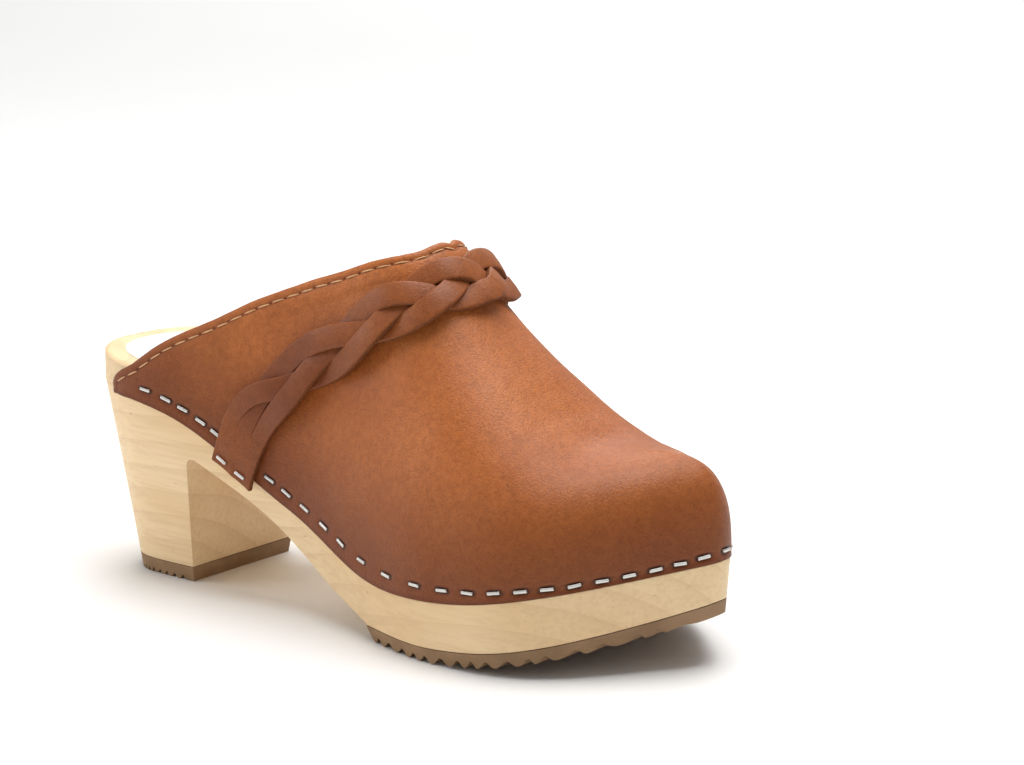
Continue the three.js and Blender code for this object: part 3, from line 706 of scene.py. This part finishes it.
def pale_wood():
    material, b, shader, at = new_material("pale sanded wood", Specular_IOR_Level=0.4)
    grain = b.group(WOOD, Vector=at)
    wear = b.group(HANDLING, Vector=at, Scale=18.0)
    tone = b.mix(b.band(grain["Cloud"], 0.35, 0.68), colour(242, 214, 170), colour(234, 200, 152))
    tone = b.mix(b.times(grain["Ring"], 0.24), tone, colour(202, 158, 108))
    tone = b.mix(b.band(grain["Fibre"], 0.42, 0.66, 0.0, 0.3), tone, colour(214, 178, 134))
    tone = b.mix(b.times(grain["Pore"], 0.4), tone, colour(150, 104, 62))
    tone = b.mix(b.band(wear["Scuff"], 0.2, 1.0, 0.0, 0.12), tone, colour(246, 228, 196))
    height = b.math("SUBTRACT", grain["Fibre"], b.times(grain["Pore"], 1.5))
    coated(b, shader, tone, b.band(grain["Fibre"], 0.3, 0.7, 0.42, 0.56), height, 0.16, 0.1)
    return material


def brown_rubber():
    material, b, shader, at = new_material("brown rubber", Specular_IOR_Level=0.35)
    wear = b.group(HANDLING, Vector=at, Scale=55.0)
    fine = b.noise(at, 1500.0, 3.0, 0.6)
    tone = b.mix(b.band(wear["Smudge"], 0.36, 0.68), colour(138, 108, 78), colour(158, 126, 94))
    tone = b.mix(b.times(wear["Scuff"], 0.3), tone, colour(172, 142, 110))
    height = b.math("MULTIPLY_ADD", fine, 0.5, wear["Smudge"])
    coated(b, shader, tone, b.band(fine, 0.3, 0.7, 0.6, 0.8), height, 0.25, 0.15)
    return material


def golden_thread():
    material, b, shader, at = new_material("golden thread", Specular_IOR_Level=0.4, Sheen_Weight=0.3)
    slanted = b.stretched(at, (1.0, 1.0, 1.0), turn=(0.5, 0.6, 0.4))
    twist = b.node("TexWave", {"Vector": slanted, "Scale": 900.0})
    wear = b.group(HANDLING, Vector=at, Scale=160.0)
    tone = b.mix(twist.outputs["Fac"], colour(206, 150, 98), colour(240, 196, 142))
    tone = b.mix(b.band(wear["Smudge"], 0.45, 0.7, 0.0, 0.4), tone, colour(190, 134, 84))
    rough = b.band(wear["Smudge"], 0.3, 0.7, 0.5, 0.7)
    coated(b, shader, tone, rough, twist.outputs["Fac"], 0.5, 0.08)
    return material


def bright_wire():
    material, b, shader, at = new_material("bright wire", Metallic=1.0)
    wear = b.group(HANDLING, Vector=at, Scale=240.0)
    scratch = b.noise(b.stretched(at, (300.0, 2400.0, 2400.0)), 1.0, 3.0)
    tone = b.mix(wear["Scuff"], colour(214, 212, 208), colour(170, 165, 158))
    rough = b.band(b.math("ADD", scratch, wear["Smudge"]), 0.7, 1.3, 0.3, 0.48)
    coated(b, shader, tone, rough, scratch, 0.15, 0.05)
    return material


def sticker_paper():
    material, b, shader, at = new_material("white sticker", Specular_IOR_Level=0.45)
    wear = b.group(HANDLING, Vector=at, Scale=40.0)
    fibre = b.noise(at, 1400.0, 3.0)
    tone = b.mix(wear["Smudge"], colour(240, 242, 243), colour(228, 231, 232))
    coated(b, shader, tone, b.band(fibre, 0.3, 0.7, 0.34, 0.46), fibre, 0.08, 0.05)
    return material


def stiffened_felt():
    material, b, shader, at = new_material("stiffened felt", Specular_IOR_Level=0.2)
    fibre = b.noise(at, 900.0, 5.0, 0.7)
    wear = b.group(HANDLING, Vector=at, Scale=50.0)
    tone = b.mix(fibre, colour(206, 198, 180), colour(228, 222, 208))
    tone = b.mix(b.times(wear["Smudge"], 0.3), tone, colour(180, 168, 146))
    coated(b, shader, tone, b.band(fibre, 0.3, 0.7, 0.85, 0.98), fibre, 0.5, 0.2)
    return material


wood = pale_wood()
rubber = brown_rubber()
vamp_leather = grain_leather("tan vamp leather", colour(94, 37, 5), colour(177, 97, 42), colour(197, 116, 57))
strap_leather = grain_leather(
    "tan strap leather", colour(86, 36, 8), colour(130, 66, 27), colour(168, 97, 49), stitched=False,
)
flesh_side = raw_leather("flesh side", colour(128, 84, 56), colour(168, 122, 88))
cut_edge = raw_leather("cut leather edge", colour(92, 42, 22), colour(138, 74, 44))
strap_edge = raw_leather("cut strap edge", colour(92, 50, 26), colour(150, 94, 56), 2400.0)
thread = golden_thread()
wire = bright_wire()
paper = sticker_paper()
felt = stiffened_felt()

# ---- Wooden sole ----------------------------------------------------------------------------------


def rim_point(station, side):
    """A point of the footbed's rim."""
    x = foot_x(station)
    return side_point(station, rim_height(x), side, let_in(x))


def dish(wide, t):
    """How far the footbed is hollowed, at a share t of its width."""
    return DISH_DEPTH * np.minimum(1, wide / WAIST_WIDTH) * np.sin(np.pi * t) ** 0.8


def wooden_sole():
    stations = np.concatenate([
        spaced(0, HEEL_ROUND, 26), spaced(HEEL_ROUND, HEEL_BLOCK, 10)[1:],
        HEEL_BLOCK + BREAST_FILLET * spaced(0, 1, 8)[1:] ** 1.6,
        spaced(HEEL_BLOCK + BREAST_FILLET, TREAD_START, 34)[1:],
        spaced(TREAD_START, TOE_START, 20)[1:], spaced(TOE_START, SOLE_LENGTH, 44)[1:],
    ])
    last = len(stations) - 1
    breast = int(np.argmin(abs(stations - HEEL_BLOCK)))
    across, under, inner_rows, side_rows, heel_rows = 56, 12, 5, 14, 16
    heel_floor = HEEL_TREAD_THICKNESS + GAP
    dense = (1 - np.cos(np.pi * spaced(0, 1, across))) / 2

    def footbed(i, j):
        station, t = stations[i], dense[j]
        x = foot_x(station)
        ends = [rim_point(station, side) for side in (-1.0, 1.0)]
        wide = np.linalg.norm(ends[1] - ends[0], axis=-1)
        point = ends[0] + (ends[1] - ends[0]) * t[:, None]
        hollow = dish(wide, t)
        rims = np.concatenate([rim_point(spaced(0, SOLE_LENGTH, 900), side)[:, :2] for side in (-1.0, 1.0)])
        far, _ = nearest(point[:, :2], rims)
        edge = (j == 0) | (j == across) | (i == 0) | (i == last)
        into = RIM_RADIUS - np.minimum(np.where(edge, 0, far), RIM_RADIUS)
        point[:, 2] -= np.where(edge, 0, hollow) + RIM_RADIUS - np.sqrt(np.maximum(0, RIM_RADIUS**2 - into**2))
        return point

    def let_in_wall(side):
        def shape(i, j):
            x = foot_x(stations[i])
            top, ledge = rim_height(x) - RIM_RADIUS, edge_height(x) - GAP
            return side_point(stations[i], top + (ledge - top) * j / inner_rows, side, let_in(x))
        return shape

    def ledge_step(side):
        def shape(i, j):
            x = foot_x(stations[i])
            return side_point(stations[i], edge_height(x) - GAP, side, let_in(x) * (1 - j))
        return shape

    def upper_side(side):
        def shape(i, j):
            x = foot_x(stations[i])
            ledge, floor = edge_height(x) - GAP, wood_bottom(np.maximum(HEEL_BLOCK, x))
            return side_point(stations[i], ledge + (floor - ledge) * j / side_rows, side)
        return shape

    def heel_side(side):
        def shape(i, j):
            top = wood_bottom(np.array(float(HEEL_BLOCK)))
            return side_point(stations[i], top + (heel_floor - top) * j / heel_rows, side)
        return shape

    parts = [laid_grid("footbed", last, across, footbed)]
    for side in (-1.0, 1.0):
        parts += [
            laid_grid("wall", last, inner_rows, let_in_wall(side)),
            laid_grid("ledge", last, 1, ledge_step(side)),
            laid_grid("side", last, side_rows, upper_side(side)),
            laid_grid("heel side", breast, heel_rows, heel_side(side)),
        ]
    arch = spanning(upper_side, lambda i: i + breast, lambda i: 0 * i + side_rows, under)
    heel_foot = spanning(heel_side, lambda i: i, lambda i: 0 * i + heel_rows, under)
    heel_breast = spanning(heel_side, lambda i: 0 * i + breast, lambda i: i, under)
    parts += [
        laid_grid("breast", heel_rows, under, heel_breast),
        laid_grid("arch", last - breast, under, arch),
        laid_grid("heel foot", breast, under, heel_foot),
    ]
    sole = joined("clog_wooden_sole", parts)
    in_edit(sole, weld, face_out)
    softened(sole, 0.7, 50, 3)
    smooth(sole, 35)
    return finished(sole, [wood], "wood", "wooden_sole")


# ---- Treads ---------------------------------------------------------------------------------------


def tread(name, xs, top_at, bottom_at):
    """A tread between two heights at each x, with upright ends."""
    rows, across = 3, 10
    stations = station_of(xs)
    last = len(xs) - 1

    def side_wall(side):
        def shape(i, j):
            top, bottom = top_at(xs[i]), bottom_at(xs[i])
            return side_point(stations[i], top + (bottom - top) * j / rows, side)
        return shape

    def flat(row):
        return spanning(side_wall, lambda i: i, lambda i: row + 0 * i, across)

    def end_wall(index):
        return spanning(side_wall, lambda i: index + 0 * i, lambda i: i, across)

    parts = [laid_grid("side", last, rows, side_wall(side)) for side in (-1.0, 1.0)]
    parts += [laid_grid("flat", last, across, flat(row)) for row in (0, rows)]
    parts += [laid_grid("end", rows, across, end_wall(index)) for index in (0, last)]
    piece = joined(name, parts)
    in_edit(piece, weld, face_out)
    smooth(piece, 48)
    return piece


def forefoot_tread():
    """Ripples run across the tread, more uneven towards the toe."""
    cut_end = TREAD_START + TREAD_END_CUT
    xs = np.unique(np.round(np.concatenate([
        spaced(TREAD_START, SOLE_LENGTH - 5, 210), foot_x(spaced(SOLE_LENGTH - 16, SOLE_LENGTH, 30)),
    ]), 4))

    def bottom(x):
        end_cut = (TREAD_THICKNESS - 1) * np.clip((cut_end - x) / TREAD_END_CUT, 0, 1)
        phase = (x - cut_end) / RIB_PITCH
        wander = 0.12 * np.sin(phase * 1.7) + 0.18 * eased(x, 190, 240) * np.sin(phase * 2.9)
        wave = (0.5 - 0.5 * np.cos(2 * np.pi * (phase + wander))) ** 1.3
        fade = eased(x, cut_end, cut_end + 3) * (1 - eased(x, SOLE_LENGTH - 9, SOLE_LENGTH - 3))
        return spring_height(x) + end_cut + RIB_DEPTH * wave * fade

    piece = tread("clog_forefoot_tread", xs, lambda x: spring_height(x) + TREAD_THICKNESS, bottom)
    return finished(piece, [rubber], "rubber", "forefoot_tread")


def heel_tread():
    xs = np.unique(np.round(np.concatenate([
        foot_x(spaced(0, HEEL_ROUND, 60)), spaced(HEEL_ROUND * 0.2, HEEL_BLOCK, 150),
    ]), 4))

    def bottom(x):
        wave = (0.5 - 0.5 * np.cos(2 * np.pi * (x - 12) / HEEL_RIB_PITCH)) ** 2.2
        return HEEL_RIB_DEPTH * wave * eased(x, 8, 12) * (1 - eased(x, HEEL_BLOCK - 4, HEEL_BLOCK - 2))

    piece = tread("clog_heel_tread", xs, lambda x: HEEL_TREAD_THICKNESS + 0 * x, bottom)
    return finished(piece, [rubber], "rubber", "heel_tread")


# ---- Staples --------------------------------------------------------------------------------------


def staple_places():
    """Each staple as (station, side, rise above the vamp's edge, lift of its seat), in node order."""
    places = []
    for side, ahead in ((-1.0, OUTER_STAPLES), (1.0, INNER_STAPLES)):
        for station in STAPLES_BEHIND + ahead:
            places.append((station, side, float(staple_rise(station)), 0.0))
        places += [(station, side, TAB_STAPLE_RISE, STRAP_LIFT + LEATHER) for station in TAB_STAPLES]
    return places


def staple_frame(station, side, rise, lift):
    """Seat, direction of the crown, and outward normal."""
    at_edge = float(angle_at_rise(np.array(station), rise))
    angle = at_edge if side < 0 else math.pi - at_edge
    point, forward, _, normal = last_frame(np.array(float(station)), np.array(angle))
    along = forward - normal * forward.dot(normal)
    return point + normal * lift, along / np.linalg.norm(along), normal


def driven_staple():
    """One staple of flattened wire, crown along x and legs down, in millimetres."""
    staple = primitive(bpy.ops.mesh.primitive_cube_add, size=1, scale=STAPLE_CROWN)
    bpy.ops.object.transform_apply(location=True, rotation=True, scale=True)
    for x in (-STAPLE_LEG_FROM, STAPLE_LEG_FROM):
        in_edit(staple, lambda: bpy.ops.mesh.bisect(plane_co=(x, 0, 0), plane_no=(1, 0, 0)))
    bpy.ops.object.mode_set(mode="EDIT")
    bpy.ops.mesh.select_mode(type="FACE")
    bpy.ops.mesh.select_all(action="DESELECT")
    bpy.ops.object.mode_set(mode="OBJECT")
    for polygon in staple.data.polygons:
        polygon.select = polygon.normal.z < -0.9 and abs(polygon.center.x) > STAPLE_LEG_FROM
    bpy.ops.object.mode_set(mode="EDIT")
    bpy.ops.mesh.extrude_region_move(TRANSFORM_OT_translate={"value": (0, 0, -STAPLE_LEG)})
    bpy.ops.object.mode_set(mode="OBJECT")
    with_modifier(staple, "BEVEL", width=0.24, segments=2, limit_method="ANGLE", angle_limit=0.6)
    smooth(staple, 50)
    return staple


def drive_staples():
    pattern = driven_staple()
    for number, (station, side, rise, lift) in enumerate(staple_places(), 1):
        seat, along, normal = staple_frame(station, side, rise, lift)
        sunk = 0.02 if lift == 0 else 0.12
        turn = 0.06 * math.sin(number * 2.4)
        along = along * math.cos(turn) + np.cross(normal, along) * math.sin(turn)
        name = f"staple_{number:02d}"
        axes = (along, np.cross(normal, along), normal)
        staple = copy_at(pattern, "clog_" + name, axes, seat + normal * sunk)
        finished(staple, [wire], "steel", name)
    bpy.data.objects.remove(pattern)


# ---- Vamp -----------------------------------------------------------------------------------------


def topline_path(count=1500):
    """The topline from the outer back corner to the inner one, and the distance along it."""
    angles = spaced(0, np.pi, count)
    line = last_point(topline_at(angles), angles)
    run = np.concatenate([[0], np.cumsum(np.linalg.norm(np.diff(line, axis=0), axis=1))])
    return angles, line, run


def pressed_by_staples(points):
    """0 away from the staples, 1 where their crowns are pressed into the leather."""
    depth = np.zeros(len(points))
    for station, side, rise, lift in staple_places():
        if lift:
            continue
        seat, along, normal = staple_frame(station, side, rise, lift)
        across = np.cross(normal, along)
        close = np.abs(points - seat).max(1) < 8
        away = points[close] - seat
        u, v = np.abs(away @ along), np.abs(away @ across)
        depth[close] = np.maximum(depth[close], np.exp(-((u / 3.5) ** 5) - (v / 1.35) ** 4))
    return depth


def leather_vamp():
    quarter = 90 * DEGREE * spaced(0, 1, 64) ** 1.45
    angles = np.concatenate([quarter, np.pi - quarter[:-1][::-1]])
    steps = 230
    shares = spaced(0, 1, steps)
    _, line, run = topline_path()

    def shape(i, j):
        angle = angles[i]
        start = topline_at(angle)
        station = start + (SOLE_LENGTH - start) * (shares[j] * 0.94 + 0.06 * shares[j] ** 3)
        point, _, _, normal = last_frame(station, angle)
        inset, _ = nearest(point, line)
        hem = 0.35 * (1 - eased(inset, 6.5, 9.5))
        groove = 0.32 * np.exp(-(((inset - STITCH_INSET) / 0.7) ** 2))
        rolled = 0.9 * (1 - np.sqrt(1 - np.clip(1 - inset / 1.4, 0, 1) ** 2))
        dent = 0.5 * pressed_by_staples(point)
        swell = np.array([noise.noise(Vector(p) / 26) for p in point]) * 0.35
        swell += np.array([noise.noise(Vector((p[0] / 5, p[1] / 14, p[2] / 14))) for p in point]) * 0.1
        calm = eased(inset, 0, 12) * eased(point[:, 2] - edge_height(point[:, 0]), 0, 12)
        return point + normal * (hem - groove - rolled - dent + swell * calm)[:, None]

    vamp = laid_grid("clog_leather_vamp", len(angles) - 1, steps, shape)
    co = vertices_of(vamp) * 1000 - HEEL_BACK
    inset, index = nearest(co, line)
    attribute(vamp, "hem inset", inset)
    attribute(vamp, "along hem", run[index])
    attribute(vamp, "pressed", pressed_by_staples(co))
    attribute(vamp, "above edge", np.maximum(0, co[:, 2] - edge_height(co[:, 0])))
    in_edit(vamp, weld, face_out)
    faced(vamp, (0, 0, 1))
    group = vamp.vertex_groups.new(name="hem")
    co = vertices_of(vamp) * 1000 - HEEL_BACK
    inset, _ = nearest(co, line)
    fold = (1 - eased(inset, 6, 10)) * eased(co[:, 2] - rim_height(co[:, 0]), 1, 6)
    for number, weight in enumerate(fold):
        group.add([number], float(SINGLE_SHARE + (1 - SINGLE_SHARE) * weight), "REPLACE")
    cut_from(vamp, vamp_leather, flesh_side, cut_edge)
    with_modifier(vamp, "SOLIDIFY", thickness=HEM_THICKNESS / 1000, offset=-1, use_rim=True,
                  use_even_offset=False, vertex_group="hem", material_offset=1, material_offset_rim=2)
    softened(vamp, 0.5, 55, 2)
    smooth(vamp, 50)
    return finished(vamp, [], "vamp_leather", "leather_vamp")


def topline_stitches():
    """Long stitches along the hem, in line, with a short gap at each needle hole."""
    pattern = primitive(bpy.ops.mesh.primitive_uv_sphere_add, segments=8, ring_count=10, radius=1)
    co = vertices_of(pattern)[:, [2, 1, 0]]
    sag = 0.3 * np.abs(co[:, 0]) ** 2.5
    co = np.stack([co[:, 0] * 2.45, co[:, 1] * 0.28, co[:, 2] * 0.3 - sag], -1)
    move_vertices(pattern, co)
    smooth(pattern, 60)
    angles, line, run = topline_path()
    made = []
    for number in range(int(run[-1] / STITCH_PITCH)):
        middle = (number + 0.5) * STITCH_PITCH
        if middle < 4 or middle > run[-1] - 4:
            continue
        k = int(np.searchsorted(run, middle))
        ahead = line[min(k + 6, len(line) - 1)] - line[max(k - 6, 0)]
        ahead /= np.linalg.norm(ahead)
        angle = angles[k]
        start = float(topline_at(np.array(angle)))
        _, _, _, normal = last_frame(np.array(start + 1), np.array(angle))
        inward = np.cross(ahead, normal)
        inward = inward if inward[0] > 0 else -inward
        point = snapped(line[k] + inward * STITCH_INSET, start, angle)
        slant = ahead + inward * 0.05
        slant /= np.linalg.norm(slant)
        up = normal - slant * slant.dot(normal)
        up /= np.linalg.norm(up)
        made.append(copy_at(pattern, "stitch", (slant, np.cross(up, slant), up), point + up * 0.22))
    bpy.data.objects.remove(pattern)
    stitching = joined("clog_topline_stitching", made)
    in_edit(stitching, face_out)
    return finished(stitching, [thread], "vamp_leather")


def snapped(point, station, angle):
    """The nearest point of the last to a point close to (station, angle)."""
    stations = station + spaced(-6, 12, 60)
    angles = np.clip(angle + spaced(-0.25, 0.25, 60), 0.0005, np.pi - 0.0005)
    grid_s, grid_a = (g.ravel() for g in np.meshgrid(stations, angles))
    for _ in range(2):
        cloud = last_point(grid_s, grid_a)
        best = int(((cloud - point) ** 2).sum(1).argmin())
        s, a = grid_s[best], grid_a[best]
        near = np.meshgrid(s + spaced(-0.3, 0.3, 30), a + spaced(-0.01, 0.01, 30))
        grid_s, grid_a = (g.ravel() for g in near)
    return last_point(np.array(s), np.array(a))


# ---- Plaited strap --------------------------------------------------------------------------------


def strap_station(angle):
    return strap_climb(np.minimum(angle, np.pi - angle))


def strap_spot(angle, across):
    """Station and angle of a point on the strap: across is measured square to its middle line."""
    station = strap_station(angle)
    _, forward, round_, normal = last_frame(station, angle, 0.12)
    before, after = (last_point(strap_station(angle + d), angle + d) for d in (-0.04, 0.04))
    square = unit(np.cross(normal, after - before))
    ff, fr, rr = ((a * b).sum(-1) for a, b in ((forward, forward), (forward, round_), (round_, round_)))
    f, r = (forward * square).sum(-1), (round_ * square).sum(-1)
    scale = across / (ff * rr - fr * fr)
    return station + scale * (rr * f - fr * r), angle + scale * (ff * r - fr * f)


def lifted(spot, lift):
    point, _, _, normal = last_frame(*spot, 0.12)
    return point + normal * np.asarray(lift)[..., None]


def strap_point(angle, across, lift):
    return lifted(strap_spot(angle, across), lift)


TAB_DROP_ANGLE = -float(angle_at_rise(np.array(STRAP_ROOT), TAB_DROP))
TAB_END_ANGLE = float(angle_at_rise(np.array(STRAP_ROOT), TAB_RISE))


def strap_tab(inner):
    """One stapled end of the strap. Its lower edge runs along the vamp's edge."""
    along, across = 26, 24
    end = TAB_END_ANGLE + 0.03

    def shape(i, j):
        share, side = i / along, (2 * j / across - 1) * TAB_WIDTH / 2
        top_station, top_angle = strap_spot(end + 0 * share, side)
        foot_station = STRAP_ROOT - TAB_SKEW * side / (TAB_WIDTH / 2)
        climb = share * (1 - 0.25 * (1 - share))
        angle = TAB_DROP_ANGLE + (top_angle - TAB_DROP_ANGLE) * share
        station = foot_station + (top_station - foot_station) * climb
        pinch = 0.0
        above = np.tan(angle) * LAST_HALF_AT_TAB - TAB_STAPLE_RISE
        for spot in TAB_STAPLES:
            pinch = pinch + np.exp(-(((station - spot) / 2.9) ** 4) - ((above / 1.5) ** 4))
        lift = STRAP_LIFT + LEATHER - 0.4 * pinch - 0.6 * eased(share, 0.85, 1)
        return lifted((station, np.pi - angle if inner else angle), lift)

    tab = laid_grid("tab", along, across, shape)
    in_edit(tab, weld, face_out)
    faced(tab, (0, 1 if inner else -1, 0))
    cut_from(tab, strap_leather, flesh_side, strap_edge)
    with_modifier(tab, "SOLIDIFY", thickness=TAB_THICKNESS / 1000, offset=-1,
                  material_offset=1, material_offset_rim=2)
    softened(tab, 0.35, 55, 2)
    return tab


def strand(order):
    """One of the three strands. It swings from side to side, over and under its neighbours."""
    steps, ring = 300, 20
    first_slot = (order - 1) * TAB_WIDTH / 3
    flat_lift = STRAP_LIFT + LEATHER / 2
    start, end = TAB_END_ANGLE - 0.02, np.pi - TAB_END_ANGLE + 0.02

    def free_of_tab(t):
        """0 at the strand's ends, which lie inside the tabs, and 1 between them."""
        return eased(t, 0.0, 0.008) * (1 - eased(t, 0.992, 1.0))

    def swung(t):
        return ((order - 1) * 2 + BRAID_STEPS * t) * np.pi / 3

    def middle(t):
        """Angle, place across, lift and how far it is braided, at a share t of the strand."""
        t = np.clip(t, 0, 1)
        phase = swung(t)
        braided = eased(t, 0.005, 0.075) * (1 - eased(t, 0.925, 0.995))
        last_slot = np.rint(math.sin(swung(1)) / math.sin(math.pi / 3)) * TAB_WIDTH / 3
        flat = np.where(t < 0.5, first_slot, last_slot)
        swing = BRAID_SWING * np.sin(phase)
        lift = flat_lift - 0.2 * (1 - free_of_tab(t)) + braided * BRAID_LIFT * (1 - np.sin(2 * phase))
        return start + (end - start) * t, flat + (swing - flat) * braided, lift, braided

    turn = 2 * np.pi * spaced(0, 1, ring)
    corner_w = np.sign(np.cos(turn)) * np.abs(np.cos(turn)) ** 0.2
    corner_n = np.sign(np.sin(turn)) * np.abs(np.sin(turn)) ** 0.28

    def shape(i, j):
        t = i / steps
        angle, across, lift, braided = middle(t)
        point = strap_point(angle, across, lift)
        ahead, behind = (strap_point(*middle(t + d)[:3]) for d in (0.002, -0.002))
        run = unit(ahead - behind)
        up = strap_point(angle, across, 0 * t + 1) - strap_point(angle, across, 0 * t)
        wide = unit(np.cross(up, run))
        normal = np.cross(run, wide)
        half = (TAB_WIDTH / 6 - 0.05) + braided * 0.85
        w, n = corner_w[j % ring], corner_n[j % ring]
        dome = 0.22 * braided * (1 - w * w) * np.sign(n)
        thick = n * (1.0 + 0.2 * braided) + np.where(n > 0, dome, -dome * 0.5)
        return point + wide * (w * half)[:, None] + normal * thick[:, None]

    piece = laid_grid("strand", steps, ring, shape)
    cut_from(piece, strap_leather, flesh_side, strap_edge)
    half_ring = ring // 2
    for number, polygon in enumerate(piece.data.polygons):
        row = number // steps
        cut = row % half_ring in (0, half_ring - 1)
        polygon.material_index = 2 if cut else row // half_ring
    in_edit(piece, weld, close_ends, face_out)
    return piece


def plaited_strap():
    tabs = [strap_tab(inner) for inner in (False, True)]
    strands = [strand(order) for order in range(3)]
    strap = joined("clog_plaited_strap", tabs + strands)
    smooth(strap, 50)
    return finished(strap, [], "strap_leather", "braided_strap")


# ---- Sticker --------------------------------------------------------------------------------------


def bed_height(x, y):
    station = station_of(x)
    outer, inner = (side_point(station, rim_height(x), side, let_in(x))[..., 1] for side in (-1.0, 1.0))
    t = np.clip((y - outer) / (inner - outer), 0, 1)
    return rim_height(x) - dish(inner - outer, t)


def heel_sticker():
    rings, ring_width = 11, 2.0
    sticker = primitive(
        bpy.ops.mesh.primitive_circle_add, vertices=96, radius=LABEL_RADIUS, fill_type="NGON",
    )
    sticker.name = "clog_heel_sticker"
    in_edit(sticker, *[lambda: bpy.ops.mesh.inset(thickness=ring_width)] * rings, bpy.ops.mesh.poke)
    co = vertices_of(sticker)
    x, y = co[:, 0] + LABEL_AT, co[:, 1] + float(centreline(LABEL_AT))
    move_vertices(sticker, placed(np.stack([x, y, bed_height(x, y) + LABEL_TOP], -1)))
    with_modifier(sticker, "SOLIDIFY", thickness=LABEL_THICKNESS / 1000, offset=-1)
    softened(sticker, 0.08, 50, 2)
    smooth(sticker, 40)
    return finished(sticker, [paper], "label", "heel_label")


# ---- Making the clog ------------------------------------------------------------------------------

wooden_sole()
forefoot_tread()
heel_tread()
leather_vamp()
topline_stitches()
plaited_strap()
heel_sticker()
drive_staples()

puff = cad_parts["toe_puff"]
puff.data.materials.clear()
puff.data.materials.append(felt)

# ---- Floor, lights and camera ---------------------------------------------------------------------


def pale_floor():
    floor = primitive(bpy.ops.mesh.primitive_plane_add, size=14)
    floor.name = "floor"
    material, b, shader, at = new_material("pale floor", Roughness=0.55, Specular_IOR_Level=0.3)
    b.set(shader.inputs["Base Color"], b.mix(b.noise(at, 3.0), colour(243, 243, 242), colour(246, 246, 245)))
    floor.data.materials.append(material)


def aimed(name, data, place, aim):
    """A lamp or camera at a place, looking at a point."""
    made = bpy.data.objects.new(name, data)
    made.location = place
    made.rotation_euler = (Vector(aim) - Vector(place)).to_track_quat("-Z", "Y").to_euler()
    bpy.context.collection.objects.link(made)
    return made


def soft_light(name, place, aim, size, power):
    light = bpy.data.lights.new(name, "AREA")
    light.shape, light.size, light.energy = "DISK", size, power
    aimed(name, light, place, aim)


pale_floor()
soft_light("overhead", (0.1, 0.2, 1.5), (0, 0, 0.05), 1.3, 25)
soft_light("left fill", (-1.3, -0.9, 0.8), (0, 0, 0.06), 1.0, 8)
soft_light("back of the floor", (-1.4, 2.6, 1.9), (-1.7, 2.4, 0), 2.6, 46)

world = bpy.data.worlds.new("studio")
bpy.context.scene.world = world
world.use_nodes = True
sky = world.node_tree.nodes["Background"].inputs
sky["Color"].default_value = (1.0, 1.0, 1.0, 1.0)
sky["Strength"].default_value = 0.34


def camera():
    """Stands at the outer front of the clog, a little above it."""
    lens = bpy.data.cameras.new("camera")
    lens.sensor_width, lens.lens = 36, 103.13
    lens.clip_start, lens.clip_end = 0.05, 40
    place, aim = placed([731.457, -742.094, 288.76]), placed([170.54, 0, 83.16])
    bpy.context.scene.camera = aimed("camera", lens, place, aim)


camera()
bpy.context.scene.view_settings.view_transform = "Standard"
